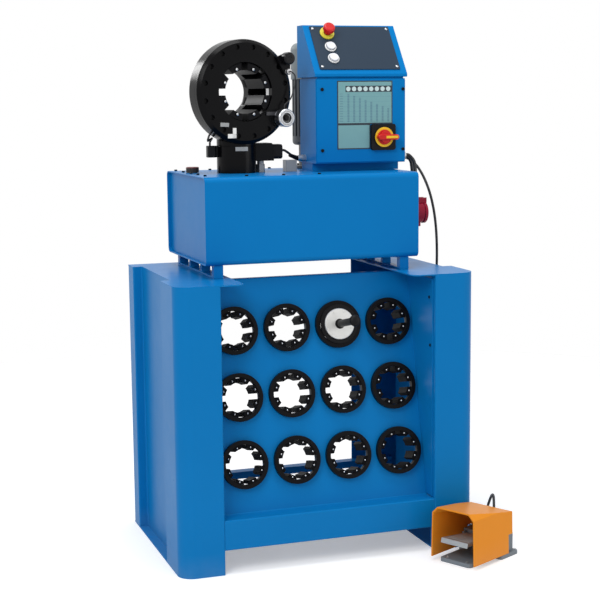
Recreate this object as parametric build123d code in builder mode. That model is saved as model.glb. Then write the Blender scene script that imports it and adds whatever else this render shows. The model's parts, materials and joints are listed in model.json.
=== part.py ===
from build123d import *
import os
from math import atan2, cos, degrees, radians, sin, tan

os.makedirs("parts", exist_ok=True)

# Hose crimping machine on a die cabinet, with a foot pedal on a cable.
# Millimetres, +Z up, the operator's side is -Y, origin on the floor under the cabinet's centre.

# ---- cabinet: two folded sides, a rear crossbar and a sloping die rack ----
sheet = 3.0  # cabinet sheet
bend_r = 4.0  # outer radius of the tight bends
cab_w = 788.0
cab_d = 522.0
cab_h = 720.0
post_w = 113.0  # front face of a post
post_d = 150.0  # depth of a post before the side steps in
lip_d = 26.0  # return lip at a post's inner edge
corner_r = 38.0  # large rounded outer corner
side_recess = 25.0
rear_post_d = 60.0
rear_flange_w = 142.0
plate_w = 175.0  # width of the top and bottom plates
plate_corner_r = 22.0
anchor_x = 335.0  # floor bolts
anchor_y = 190.0
anchor_r = 6.5
bar_h = 20.0  # rear crossbar
bar_z = 101.0
bar_d = 30.0

kick_setback = 2.0  # kick panel behind the posts' front faces
kick_z0 = 61.0
ledge_z = 137.0
ledge_d = 47.0
rack_lean = 12.5  # degrees from upright
rack_top_z = 711.0
rack_return = 18.0

ring_r = 61.0  # holder ring
ring_bore_r = 50.0
ring_proj = 14.0
ring_pitch = 139.0
row_pitch = 168.0
row_1_up = 121.0  # lowest row above the ledge, along the slope
die_r = 49.8
die_depth = 55.0
die_inset = 1.0
die_gap = 14.0
set_bores = (36.0, 38.0, 40.5)  # inner radii of the stored sets, upper row first

tool_r = 40.0
tool_t = 10.0
tool_plug_r = 27.0
tool_plug_l = 16.0
tool_pin_circle_r = 33.0
tool_pin_r = 2.5
handle_r = 7.5
handle_l = 118.0
handle_flare_r = 12.0

# ---- hydraulic tank ----
tank_l = 570.0
tank_d = 390.0
tank_h = 219.0
tank_y = 50.0  # centre
tank_t = 3.0
tank_r = 14.0
end_inset = 9.0
rail_w = 24.0
rail_h = 33.0
rail_x = 250.0
rail_front_inset = 12.0
window_l = 98.0
window_h = 24.0
window_post = 14.0

neck_inset = 35.0
neck_y = 104.0
neck_r = 12.0
neck_h = 8.0
cap_r = 17.0
cap_h = 14.0

inlet_y = -50.0
inlet_up = 140.0  # above the cabinet
inlet_flange = 60.0
inlet_flange_t = 6.0
inlet_r = 27.0
inlet_l = 44.0
lid_r = 29.0
lid_t = 8.0
lid_pin_r = 3.0
inlet_lead_out = 24.0  # the leads' bow beside the box
inlet_lead_fall = 50.0
inlet_lead_rise = 34.0

# ---- crimping head ----
head_turn = 9.0  # degrees, the head faces slightly towards the control box
foot_x = -145.0
foot_y = 52.0
foot_r = 51.0
foot_h = 70.0
head_up = 207.5  # bore axis above the tank
foot_back = 62.0  # foot axis behind the head's front face
drum_r = 133.0
cover_t = 20.0
cover_chamfer = 9.0
cover_bore_r = 75.0
bolt_circle_r = 114.0
bolt_r = 6.0
bolt_sink = 7.0
bolts = 16
drum_l = 55.0  # full-radius length
cone_end_r = 99.0
cone_end_l = 108.0
collar_r = 88.0
collar_l = 138.0
rear_bore_r = 60.0

dies = 8
jaw_gap = 17.0
jaw_bore_r = 55.5
nose_r = 73.5
nose_set = 5.0  # noses behind the front face
jaw_l = 100.0
wedge_angle = 30.0  # of the wedge faces to the bore axis
shoulder_apothem = 98.0
jaw_pin_circle_r = 61.0
jaw_pin_r = 2.5
jaw_pin_l = 3.0
slide_fit = 0.08
piston_t = 18.0
piston_r = 104.0
piston_bore_r = 77.0
piston_stroke = 31.0
piston_front_gap = 0.6

sleeve_u = 102.0  # micrometer, right of and below the bore axis
sleeve_v = -67.0
sleeve_r = 23.0
sleeve_bore_r = 13.0
sleeve_l = 30.0
dial_r = 12.9
dial_set = 6.0
arm_w = 9.0
arm_t = 5.0
arm_l = 46.0

stop_u = 112.0  # opening stop, right of and above the bore axis
stop_v = 84.0
stop_r = 16.0
stop_l = 22.0
stop_pin_r = 5.0
stop_arm_t = 8.0
probe_r = 7.0
probe_drop = 37.0
probe_l = 12.0

valve_l = 44.0
valve_d = 50.0
valve_h = 46.0
valve_z = 30.0  # above the tank
coil_l = 26.0
coil_h = 38.0
coil_d = 40.0
fitting_r = 12.0
port_block = 30.0
port_block_x = 0.0
terminal_w = 22.0
terminal_d = 24.0
terminal_h = 30.0
terminal_z = 41.0
lead_r = 2.6

# ---- control box ----
box_x0 = 50.0
box_w = 250.0
box_t = 2.0
box_front_y = -21.0
box_rear_y = 110.0
plinth_h = 21.0
plinth_front = 41.0
plinth_inset = 3.0
box_seam_up = 240.0  # above the tank
hood_gap = 4.0
hood_out = 4.0
hood_lip = 8.0
hood_top_up = 380.0
hood_top_d = 38.0
panel_t = 3.0
panel_edge = 3.0
desk_inset = 13.0
desk_t = 3.0
desk_up = 13.0
desk_h = 142.0

button_x = 107.0
estop_s = 130.0  # up the desk slope
button_1_s = 85.0
button_2_s = 47.0
collar_ring_r = 19.5
collar_ring_h = 5.0
estop_r = 15.5
estop_stem_r = 9.0
estop_stem_l = 16.0
estop_cap_h = 13.0
estop_travel = 5.0
bezel_r = 15.5
bezel_h = 4.0
button_r = 11.6
button_h = 8.0
button_travel = 4.0

switch_inset = 66.0  # from the box's right side
switch_up = 87.5  # above the tank
switch_w = 68.0
switch_t = 9.0
switch_disc_r = 26.0
switch_disc_t = 4.0
grip_r = 15.0
grip_l = 44.0
grip_w = 14.0
grip_t = 16.0

motor_x = 121.0
motor_y = 185.0
bell_r = 46.0
bell_flange_r = 58.0
bell_flange_t = 8.0
motor_z = 64.0  # above the tank
motor_r = 63.0
motor_h = 177.0
fin_depth = 4.0
fins = 24
cowl_r = 66.0
cowl_h = 98.0
cowl_round = 20.0

gland_r = 8.0
gland_l = 22.0

# ---- foot pedal ----
pedal_x = 271.7  # middle of the guard's front edge
pedal_y = -389.2
pedal_turn = 62.0  # degrees, the opening faces the machine's left front
guard_w = 130.0
guard_l = 165.0
guard_h = 142.0
guard_drop = 26.0  # the roof falls towards the rear
guard_t = 4.0
guard_lift = 10.0
guard_corner = 16.0
guard_flare = 3.0  # each wall leans out towards its foot
guard_side_l = 148.0  # the walls end here below the case's top
base_w = 96.0
base_rear_w = 136.0
base_rear_l = 76.0
base_l = 182.0
base_t = 10.0
base_front = 8.0
case_w = 116.0
case_y = 122.0
case_l = 60.0
case_h = 58.0
lever_w = 82.0
lever_l = 104.0
lever_t = 8.0
lever_z = 46.0
lever_rest = 7.0  # degrees, front edge up
lever_gap = 1.0
pivot_r = 4.0
pivot_y = 112.0
ear_t = 5.0
cable_r = 3.5

run_fit = 0.05  # radial, turning and sliding fits
free_gap = 0.4

# ---- derived places ----
front_y = -cab_d / 2
rear_y = cab_d / 2
post_in = cab_w / 2 - post_w
kick_y = front_y + kick_setback
ledge_y = kick_y + ledge_d
tank_z0 = cab_h + rail_h
tank_top = tank_z0 + tank_h
neck_x = neck_inset - tank_l / 2
inlet_z = cab_h + inlet_up
box_seam_z = tank_top + box_seam_up
hood_top_z = tank_top + hood_top_up
switch_z = tank_top + switch_up
lean = radians(rack_lean)
rack_top_y = ledge_y + (rack_top_z - ledge_z) * tan(lean)

# Rack face: local x to the right, local y up the slope, local z out of the face.
rack = Plane(origin=(0, ledge_y, ledge_z), x_dir=(1, 0, 0), z_dir=(0, -cos(lean), sin(lean)))

# Head: local z points out of the front face, local y is up.
turn = radians(head_turn)
head_x = foot_x + foot_back * sin(turn)
head_y = foot_y - foot_back * cos(turn)
head_z = tank_top + head_up
head = Plane(origin=(head_x, head_y, head_z), x_dir=(cos(turn), sin(turn), 0), z_dir=(sin(turn), -cos(turn), 0))
head_section = Plane(origin=head.origin, x_dir=head.x_dir, z_dir=(0, 0, -1))
bore_axis = Axis(head.origin, head.z_dir)

# Desk: local y up the slope, local z out of it.
desk_y0 = box_front_y - hood_out
desk_z0 = box_seam_z + hood_gap + hood_lip
desk_y1 = box_rear_y - hood_top_d
desk_angle = atan2(desk_y1 - desk_y0, hood_top_z - desk_z0)
box_cx = box_x0 + box_w / 2
switch_x = box_x0 + box_w - switch_inset
desk_w = box_w - 2 * desk_inset
desk = Plane(origin=(box_cx, desk_y0, desk_z0), x_dir=(1, 0, 0), z_dir=(0, -cos(desk_angle), sin(desk_angle)))

# Pedal: local y runs to the rear, local z up.
yaw = radians(pedal_turn)
pedal = Plane(origin=(pedal_x, pedal_y, 0), x_dir=(cos(yaw), -sin(yaw), 0), z_dir=(0, 0, 1))


def finish(node, name):
    """Label a finished piece and write its STEP file."""
    node.part.label = name
    export_step(node.part, f"parts/{name}.step")


def tube(points, radii, radius):
    """Round cable along straight runs joined by tangent arcs."""
    with BuildPart() as cable:
        with BuildLine() as route:
            FilletPolyline(*points, radius=radii)
        with BuildSketch(Plane(origin=route.line @ 0, z_dir=route.line % 0)):
            Circle(radius)
        sweep()
    return cable, route.wire().length


def bend_radii(points):
    """Largest smooth radius for each corner of a cable's route."""
    radii = []
    for before, corner, after in zip(points, points[1:], points[2:]):
        run_in = Vector(*corner) - Vector(*before)
        run_out = Vector(*after) - Vector(*corner)
        half_turn = radians(run_in.get_angle(run_out)) / 2
        radii.append(0.45 * min(run_in.length, run_out.length) / tan(half_turn))
    return radii


# ================= cabinet =================
side_x = -cab_w / 2
recess_x = side_x + side_recess
with BuildPart() as side_panel_left:
    with BuildSketch(Plane.XY.offset(sheet)):
        with BuildLine():
            FilletPolyline(
                (-post_in, front_y + lip_d),
                (-post_in, front_y),
                (side_x, front_y),
                (side_x, front_y + post_d),
                (recess_x, front_y + post_d),
                (recess_x, rear_y - rear_post_d),
                (side_x, rear_y - rear_post_d),
                (side_x, rear_y),
                (side_x + rear_flange_w, rear_y),
                radius=(bend_r, corner_r, bend_r, bend_r, bend_r, bend_r, bend_r),
            )
            offset(amount=sheet, side=Side.RIGHT)
        make_face()
    extrude(amount=cab_h - 2 * sheet)
    with BuildSketch(Plane.XY.offset(cab_h - sheet)):
        with BuildLine():
            FilletPolyline(
                (side_x + plate_w, rear_y),
                (side_x + plate_w, front_y),
                (side_x, front_y),
                (side_x, front_y + post_d),
                (recess_x, front_y + post_d),
                (recess_x, rear_y - rear_post_d),
                (side_x, rear_y - rear_post_d),
                (side_x, rear_y),
                radius=(plate_corner_r, corner_r, bend_r, bend_r, bend_r, bend_r),
            )
            Line((side_x, rear_y), (side_x + plate_w, rear_y))
        make_face()
    extrude(amount=sheet)
    with BuildSketch():
        with BuildLine():
            FilletPolyline(
                (-post_in, rear_y),
                (-post_in, front_y),
                (side_x, front_y),
                (side_x, rear_y),
                radius=(bend_r, corner_r),
            )
            Line((side_x, rear_y), (-post_in, rear_y))
        make_face()
        with Locations((-anchor_x, -anchor_y), (-anchor_x, anchor_y)):
            Circle(anchor_r, mode=Mode.SUBTRACT)
    extrude(amount=sheet)
finish(side_panel_left, "side_panel_left")

with BuildPart() as side_panel_right:
    mirror(side_panel_left.part, about=Plane.YZ)
finish(side_panel_right, "side_panel_right")

with BuildPart() as rear_crossbar:
    with BuildSketch(Plane.YZ.offset(-cab_w / 2 + side_recess + sheet)):
        with Locations((rear_y - sheet - bar_d / 2, bar_z + bar_h / 2)):
            Rectangle(bar_d, bar_h)
            Rectangle(bar_d - 2 * sheet, bar_h - 2 * sheet, mode=Mode.SUBTRACT)
    extrude(amount=cab_w - 2 * (side_recess + sheet))
finish(rear_crossbar, "rear_crossbar")

with BuildPart() as rack_panel:
    with BuildSketch(Plane.YZ.offset(-post_in)):
        with BuildLine():
            FilletPolyline(
                (kick_y + rack_return, kick_z0),
                (kick_y, kick_z0),
                (kick_y, ledge_z),
                (ledge_y, ledge_z),
                (rack_top_y, rack_top_z),
                (rack_top_y + rack_return, rack_top_z),
                radius=bend_r,
            )
            offset(amount=sheet, side=Side.RIGHT)
        make_face()
    extrude(amount=2 * post_in)
    # side cheeks folded forward onto the posts' return lips
    for x in (-post_in, post_in - sheet):
        with BuildSketch(Plane.YZ.offset(x)):
            with BuildLine():
                Polyline(
                    (front_y + lip_d / 2, ledge_z + bend_r),
                    (ledge_y, ledge_z + bend_r),
                    (rack_top_y, rack_top_z - bend_r),
                    (front_y + lip_d / 2, rack_top_z - bend_r),
                    close=True,
                )
            make_face()
        extrude(amount=sheet)
    with BuildSketch(rack):
        with Locations((0, row_1_up + row_pitch)):
            with GridLocations(ring_pitch, row_pitch, 4, 3):
                Circle(ring_bore_r)
    extrude(amount=-2 * sheet, mode=Mode.SUBTRACT)
finish(rack_panel, "rack_panel")

# ================= die rack =================
with BuildPart() as die_rings:
    with BuildSketch(rack):
        with Locations((0, row_1_up + row_pitch)):
            with GridLocations(ring_pitch, row_pitch, 4, 3):
                Circle(ring_r)
                Circle(ring_bore_r, mode=Mode.SUBTRACT)
    extrude(amount=ring_proj)
finish(die_rings, "die_rings")


def die_row(row, bore_r):
    """Four stored die sets of one rack row, eight separate jaws each."""
    with BuildPart() as jaws:
        with BuildSketch(rack.offset(ring_proj - die_inset)):
            with Locations((0, row_1_up + (2 - row) * row_pitch)):
                with GridLocations(ring_pitch, row_pitch, 4, 1):
                    Circle(die_r)
                    Circle(bore_r, mode=Mode.SUBTRACT)
                    for angle in (0, 45, 90, 135):
                        Rectangle(2.2 * die_r, die_gap, rotation=angle, mode=Mode.SUBTRACT)
        extrude(amount=-die_depth)
    return jaws


for row, row_name in enumerate(("upper", "middle", "lower")):
    finish(die_row(row, set_bores[row]), f"die_sets_{row_name}")

tool_u = ring_pitch / 2
tool_v = row_1_up + 2 * row_pitch
tool_seat = ring_proj - die_inset + 0.3
tool_plane = Plane(origin=rack.from_local_coords((tool_u, tool_v, tool_seat)), x_dir=rack.x_dir, z_dir=rack.z_dir)
with BuildPart() as tool_disc:
    with BuildSketch(tool_plane):
        Circle(tool_r)
    extrude(amount=tool_t)
    chamfer(tool_disc.faces().sort_by(Axis(tool_plane.origin, tool_plane.z_dir))[-1].edges(), length=1.5)
    with BuildSketch(tool_plane):
        Circle(tool_plug_r)
    extrude(amount=-tool_plug_l)
    with BuildSketch(tool_plane.offset(tool_t)):
        with PolarLocations(tool_pin_circle_r, dies, 22.5):
            Circle(tool_pin_r)
    extrude(amount=1.5)
finish(tool_disc, "tool_disc")

tool_section = Plane(origin=tool_plane.origin, x_dir=tool_plane.x_dir, z_dir=-tool_plane.y_dir)
with BuildPart() as tool_handle:
    with BuildSketch(tool_section):
        with BuildLine():
            outline = Polyline(
                (0, tool_t),
                (handle_r + 3, tool_t),
                (handle_r, tool_t + 6),
                (handle_r, tool_t + handle_l - 26),
            )
            grip = Spline(
                outline @ 1,
                (handle_flare_r, tool_t + handle_l - 8),
                (0, tool_t + handle_l),
                tangents=((0, 1), (-1, 0)),
            )
            Line(grip @ 1, outline @ 0)
        make_face()
    revolve(axis=Axis(tool_plane.origin, tool_plane.z_dir))
finish(tool_handle, "tool_handle")

# ================= tank =================
with BuildPart() as tank_shell:
    with BuildSketch(Plane.YZ.offset(-tank_l / 2)):
        with Locations((tank_y, tank_z0 + tank_h / 2)):
            RectangleRounded(tank_d, tank_h, tank_r)
            RectangleRounded(tank_d - 2 * tank_t, tank_h - 2 * tank_t, tank_r - tank_t, mode=Mode.SUBTRACT)
    extrude(amount=tank_l)
    with BuildSketch(Plane.XY.offset(tank_top)):
        with Locations((neck_x, neck_y)):
            Circle(neck_r)
    extrude(amount=neck_h)
finish(tank_shell, "tank_shell")

with BuildPart() as tank_ends:
    for x in (-tank_l / 2 + end_inset, tank_l / 2 - end_inset - tank_t):
        with BuildSketch(Plane.YZ.offset(x)):
            with Locations((tank_y, tank_z0 + tank_h / 2)):
                RectangleRounded(tank_d - 2 * tank_t, tank_h - 2 * tank_t, tank_r - tank_t)
        extrude(amount=tank_t)
finish(tank_ends, "tank_ends")

rail_l = tank_d - 2 * rail_front_inset
with BuildPart() as tank_feet:
    with BuildSketch(Plane.XY.offset(cab_h)):
        with Locations((-rail_x, tank_y), (rail_x, tank_y)):
            Rectangle(rail_w, rail_l)
    extrude(amount=rail_h)
    with BuildSketch(Plane.YZ.offset(-rail_x - rail_w)):
        with Locations((tank_y, cab_h + rail_h / 2)):
            with GridLocations(window_l + window_post, window_h, 3, 1):
                Rectangle(window_l, window_h)
    extrude(amount=2 * (rail_x + rail_w), mode=Mode.SUBTRACT)
finish(tank_feet, "tank_feet")

with BuildPart() as filler_cap:
    with BuildSketch(Plane.XY.offset(tank_top + 1)):
        with Locations((neck_x, neck_y)):
            Circle(cap_r)
    extrude(amount=cap_h)
    fillet(filler_cap.faces().sort_by(Axis.Z)[-1].edges(), radius=2)
    with BuildSketch(Plane.XY.offset(tank_top + 1)):
        with Locations((neck_x, neck_y)):
            Circle(neck_r + run_fit)
    extrude(amount=neck_h - 1 + 0.2, mode=Mode.SUBTRACT)
    with BuildSketch(Plane.XY.offset(tank_top + 3)):
        with Locations((neck_x, neck_y)):
            with PolarLocations(cap_r, 12):
                Circle(1.5)
    extrude(amount=cap_h - 5, mode=Mode.SUBTRACT)
finish(filler_cap, "filler_cap")

inlet = Plane(origin=(tank_l / 2, inlet_y, inlet_z), x_dir=(0, 1, 0), z_dir=(1, 0, 0))
lid_z = inlet_flange_t + inlet_l
with BuildPart() as mains_inlet:
    with BuildSketch(inlet):
        RectangleRounded(inlet_flange, inlet_flange, 5)
    extrude(amount=inlet_flange_t)
    with BuildSketch(inlet.offset(inlet_flange_t)):
        Circle(inlet_r)
    extrude(amount=inlet_l)
    with BuildSketch(inlet.offset(inlet_flange_t + 8)):
        Circle(inlet_r - 4)
    extrude(amount=inlet_l, mode=Mode.SUBTRACT)
    with BuildSketch(inlet.offset(inlet_flange_t)):
        with PolarLocations(13, 5, 90):
            Circle(2.4)
    extrude(amount=inlet_l - 12)
    # hinge ears above the mouth
    with BuildSketch(inlet.offset(lid_z - 14)):
        with Locations((-10, inlet_r + 5), (10, inlet_r + 5)):
            Rectangle(5, 14)
    extrude(amount=14 + lid_t / 2 + lid_pin_r + 2)
    # latch under the mouth
    with BuildSketch(inlet.offset(inlet_flange_t)):
        with Locations((0, -inlet_r - 4)):
            Rectangle(14, 12)
    extrude(amount=inlet_l - 6)
    with BuildSketch(Plane(origin=inlet.from_local_coords((-14, inlet_r + 6, lid_z + lid_t / 2)), z_dir=(0, 1, 0))):
        Circle(lid_pin_r)
    extrude(amount=28, mode=Mode.SUBTRACT)
finish(mains_inlet, "mains_inlet")

with BuildPart() as mains_inlet_lid:
    with BuildSketch(inlet.offset(lid_z + free_gap)):
        Circle(lid_r)
        with Locations((0, inlet_r)):
            Rectangle(14, 20)
    extrude(amount=lid_t)
    chamfer(mains_inlet_lid.faces().sort_by(Axis.X)[-1].edges(), length=1.5)
    with BuildSketch(inlet.offset(lid_z + free_gap)):
        for u in (-10, 10):
            with Locations((u, inlet_r + 3)):
                Rectangle(5 + 2 * free_gap, 18)
    extrude(amount=lid_t, mode=Mode.SUBTRACT)
    with BuildSketch(Plane(origin=inlet.from_local_coords((-13, inlet_r + 6, lid_z + lid_t / 2)), z_dir=(0, 1, 0))):
        Circle(lid_pin_r - run_fit)
    extrude(amount=26)
finish(mains_inlet_lid, "mains_inlet_lid")

# ================= crimping head =================
with BuildPart() as head_foot:
    with BuildSketch(Plane.XY.offset(tank_top)):
        with Locations((foot_x, foot_y)):
            Circle(foot_r)
    extrude(amount=foot_h)
finish(head_foot, "head_foot")

chamber_end = cover_t + piston_front_gap + piston_t + piston_stroke + 1
shoulder = cover_t + piston_front_gap + piston_t + 0.1
with BuildPart() as head_housing:
    with BuildSketch(head_section):
        with BuildLine():
            Polyline(
                (0, -cover_t),
                (drum_r, -cover_t),
                (drum_r, -drum_l),
                (cone_end_r, -cone_end_l),
                (collar_r, -cone_end_l - 4),
                (collar_r, -collar_l + 3),
                (collar_r - 3, -collar_l),
                (0, -collar_l),
                close=True,
            )
        make_face()
    revolve(axis=bore_axis)
    with BuildSketch(Plane.XY.offset(tank_top + foot_h)):
        with Locations((foot_x, foot_y)):
            Circle(foot_r)
    extrude(amount=head_up - foot_h)
    # seat of the front cover
    with BuildSketch(head.offset(drum_r)):
        Circle(drum_r + 0.2)
    extrude(amount=-drum_r - cover_t, mode=Mode.SUBTRACT)
    # piston chamber, then the eight-sided wedge seat, then the rear mouth
    with BuildSketch(head.offset(-cover_t)):
        Circle(piston_r + run_fit)
    extrude(amount=-(chamber_end - cover_t), mode=Mode.SUBTRACT)
    seat_apothem = shoulder_apothem - (chamber_end - shoulder) * tan(radians(wedge_angle))
    with BuildSketch(head.offset(-chamber_end)):
        RegularPolygon(seat_apothem + slide_fit, dies, major_radius=False)
    extrude(amount=-(collar_l - chamber_end - 24), taper=wedge_angle, mode=Mode.SUBTRACT)
    with BuildSketch(head.offset(-chamber_end)):
        Circle(rear_bore_r)
    extrude(amount=-collar_l, mode=Mode.SUBTRACT)
finish(head_housing, "head_housing")

with BuildPart() as head_cover:
    with BuildSketch(head):
        Circle(drum_r)
        Circle(cover_bore_r, mode=Mode.SUBTRACT)
    extrude(amount=-cover_t)
    front = head_cover.faces().filter_by(lambda f: f.normal_at().dot(head.z_dir) > 0.99)
    chamfer(front.edges().group_by(SortBy.RADIUS)[-1], length=cover_chamfer)
    with BuildSketch(head):
        with PolarLocations(bolt_circle_r, bolts, 180 / bolts):
            Circle(bolt_r + 0.5)
    extrude(amount=-bolt_sink, mode=Mode.SUBTRACT)
finish(head_cover, "head_cover")

with BuildPart() as cover_bolts:
    with BuildSketch(head.offset(-bolt_sink)):
        with PolarLocations(bolt_circle_r, bolts, 180 / bolts):
            Circle(bolt_r)
    extrude(amount=bolt_sink - 0.5)
finish(cover_bolts, "cover_bolts")

with BuildPart() as closing_piston:
    with BuildSketch(head.offset(-cover_t - piston_front_gap)):
        Circle(piston_r)
        Circle(piston_bore_r, mode=Mode.SUBTRACT)
    extrude(amount=-piston_t)
finish(closing_piston, "closing_piston")

# Eight master dies: a nose in the cover's mouth and a wedge body behind the piston.
with BuildPart() as die_star:
    with BuildSketch(head.offset(-shoulder)):
        RegularPolygon(shoulder_apothem, dies, major_radius=False)
    extrude(amount=-(nose_set + jaw_l - shoulder), taper=wedge_angle)
    with BuildSketch(head.offset(-nose_set)):
        Circle(nose_r)
    extrude(amount=-(shoulder - nose_set))
    with BuildSketch(head.offset(-nose_set)):
        Circle(jaw_bore_r)
        with PolarLocations(0, dies // 2, 0, 180):
            Rectangle(3 * shoulder_apothem, jaw_gap)
    extrude(amount=-jaw_l, mode=Mode.SUBTRACT)
    with BuildSketch(head.offset(-nose_set)):
        with PolarLocations(jaw_pin_circle_r, dies, 180 / dies):
            Circle(jaw_pin_r)
    extrude(amount=jaw_pin_l)


def die_angle(solid):
    """Angle of a master die round the bore, from the right, anticlockwise."""
    place = head.to_local_coords(solid.center())
    return degrees(atan2(place.Y, place.X)) % 360


for number, solid in enumerate(sorted(die_star.solids(), key=die_angle), start=1):
    with BuildPart() as master_die:
        add(solid)
    finish(master_die, f"master_die_{number}")

sleeve = Plane(origin=head.from_local_coords((sleeve_u, sleeve_v, 0)), x_dir=head.x_dir, z_dir=head.z_dir)
with BuildPart() as micrometer_sleeve:
    with BuildSketch(sleeve):
        Circle(sleeve_r)
    extrude(amount=sleeve_l)
    chamfer(micrometer_sleeve.edges().filter_by(GeomType.CIRCLE), length=2)
    with BuildSketch(sleeve.offset(sleeve_l)):
        Circle(sleeve_bore_r)
    extrude(amount=-sleeve_l + 4, mode=Mode.SUBTRACT)
    # arm laid on the cover, towards the bore
    with BuildSketch(head):
        with Locations((sleeve_u - arm_l / 2, sleeve_v + sleeve_r / 2)):
            Rectangle(arm_l, arm_w)
        with Locations((sleeve_u, sleeve_v)):
            Circle(sleeve_bore_r, mode=Mode.SUBTRACT)
    extrude(amount=arm_t)
finish(micrometer_sleeve, "micrometer_sleeve")

with BuildPart() as micrometer_dial:
    with BuildSketch(sleeve.offset(sleeve_l - dial_set)):
        Circle(dial_r)
    extrude(amount=-(sleeve_l - dial_set - 4 - 0.2))
    with BuildSketch(sleeve.offset(sleeve_l - dial_set)):
        Circle(5)
    extrude(amount=dial_set - 1)
finish(micrometer_dial, "micrometer_dial")

stop = Plane(origin=head.from_local_coords((stop_u, stop_v, 0)), x_dir=head.x_dir, z_dir=head.z_dir)
with BuildPart() as stop_bracket:
    with BuildSketch(head):
        with BuildLine():
            Polyline(
                (stop_u - 27, stop_v + 4),
                (stop_u - 4, stop_v + 13),
                (stop_u + 13, stop_v + 6),
                (stop_u + 12, stop_v - probe_drop - 4),
                (stop_u - 4, stop_v - probe_drop - 4),
                close=True,
            )
        make_face()
    extrude(amount=stop_arm_t)
    with BuildSketch(stop.offset(stop_arm_t)):
        Circle(stop_pin_r)
    extrude(amount=stop_l - 4)
    with BuildSketch(head.offset(stop_arm_t)):
        with Locations((stop_u + 4, stop_v - probe_drop + 4)):
            Circle(probe_r)
    extrude(amount=probe_l)
finish(stop_bracket, "stop_bracket")

with BuildPart() as stop_knob:
    with BuildSketch(stop.offset(stop_arm_t + 0.3)):
        Circle(stop_r)
        Circle(stop_pin_r + run_fit, mode=Mode.SUBTRACT)
    extrude(amount=stop_l)
    fillet(stop_knob.edges().filter_by(GeomType.CIRCLE).group_by(SortBy.RADIUS)[-1].group_by(bore_axis)[-1], radius=5)
    with BuildSketch(stop.offset(stop_arm_t + stop_l - 3.4)):
        Circle(stop_pin_r + 2)
    extrude(amount=2.5)
finish(stop_knob, "stop_knob")

# ================= hydraulic and electric pieces on the tank =================
valve_x = foot_x + foot_r
valve_z0 = tank_top + valve_z
with BuildPart() as valve_block:
    with BuildSketch(Plane.XY.offset(valve_z0)):
        with Locations((valve_x + valve_l / 2 - 8, foot_y)):
            Rectangle(valve_l + 16, valve_d)
        with Locations((foot_x, foot_y)):
            Circle(foot_r, mode=Mode.SUBTRACT)
    extrude(amount=valve_h)
    chamfer(valve_block.faces().sort_by(Axis.Z)[-1].edges().sort_by(Axis.X)[-1], length=6)
finish(valve_block, "valve_block")

coil_x = valve_x + valve_l
with BuildPart() as valve_coil:
    with BuildSketch(Plane.YZ.offset(coil_x)):
        with Locations((foot_y, valve_z0 + valve_h / 2)):
            RectangleRounded(coil_d, coil_h, 8)
    extrude(amount=coil_l)
    fillet(valve_coil.faces().sort_by(Axis.X)[-1].edges(), radius=4)
finish(valve_coil, "valve_coil")

with BuildPart() as valve_fittings:
    with BuildSketch(Plane.XY.offset(tank_top)):
        with Locations((valve_x + 14, foot_y)):
            RegularPolygon(fitting_r, 6)
    extrude(amount=valve_z * 0.7)
    with BuildSketch(Plane.XY.offset(tank_top)):
        with Locations((valve_x + 14, foot_y)):
            Circle(fitting_r - 3)
    extrude(amount=valve_z)
    with BuildSketch(Plane.XY.offset(tank_top)):
        with Locations((port_block_x, foot_y - 4)):
            RectangleRounded(port_block, port_block, 2)
    extrude(amount=port_block)
finish(valve_fittings, "valve_fittings")

terminal_x = foot_x - foot_r - terminal_w / 2 - 6
terminal_z0 = tank_top + terminal_z
with BuildPart() as terminal_box:
    with BuildSketch(Plane.XY.offset(terminal_z0)):
        with Locations((terminal_x, foot_y)):
            RectangleRounded(terminal_w, terminal_d, 5)
        with Locations((terminal_x + terminal_w / 2 + 4, foot_y)):
            Rectangle(12, terminal_d / 2)
        with Locations((foot_x, foot_y)):
            Circle(foot_r, mode=Mode.SUBTRACT)
    extrude(amount=terminal_h)
finish(terminal_box, "terminal_box")

plinth_top = tank_top + plinth_h
with BuildPart() as control_box:
    with BuildSketch(Plane.XY.offset(plinth_top)):
        with Locations((box_cx, (box_front_y + box_rear_y) / 2)):
            Rectangle(box_w, box_rear_y - box_front_y)
    extrude(amount=box_seam_z - plinth_top)
    with BuildSketch(Plane.XZ.offset(-box_front_y)):
        with Locations((box_cx, (plinth_top + box_seam_z) / 2)):
            Rectangle(box_w - 24, box_seam_z - plinth_top - 24)
    extrude(amount=-(box_rear_y - box_front_y - box_t), mode=Mode.SUBTRACT)
    with BuildSketch(Plane.XY.offset(plinth_top + box_t)):
        with Locations((box_cx, (box_front_y + box_rear_y) / 2 + 4)):
            Rectangle(box_w - 2 * box_t, box_rear_y - box_front_y - 8 - 2 * box_t)
    extrude(amount=box_seam_z - plinth_top - 2 * box_t, mode=Mode.SUBTRACT)
    with BuildSketch(Plane.XY.offset(tank_top)):
        with Locations((box_cx, (box_front_y + plinth_front + box_rear_y) / 2 - plinth_inset)):
            depth = box_rear_y - box_front_y - plinth_front - 2 * plinth_inset
            Rectangle(box_w - 2 * plinth_inset, depth)
            Rectangle(box_w - 2 * plinth_inset - 8, depth - 8, mode=Mode.SUBTRACT)
    extrude(amount=plinth_h)
finish(control_box, "control_box")

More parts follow.
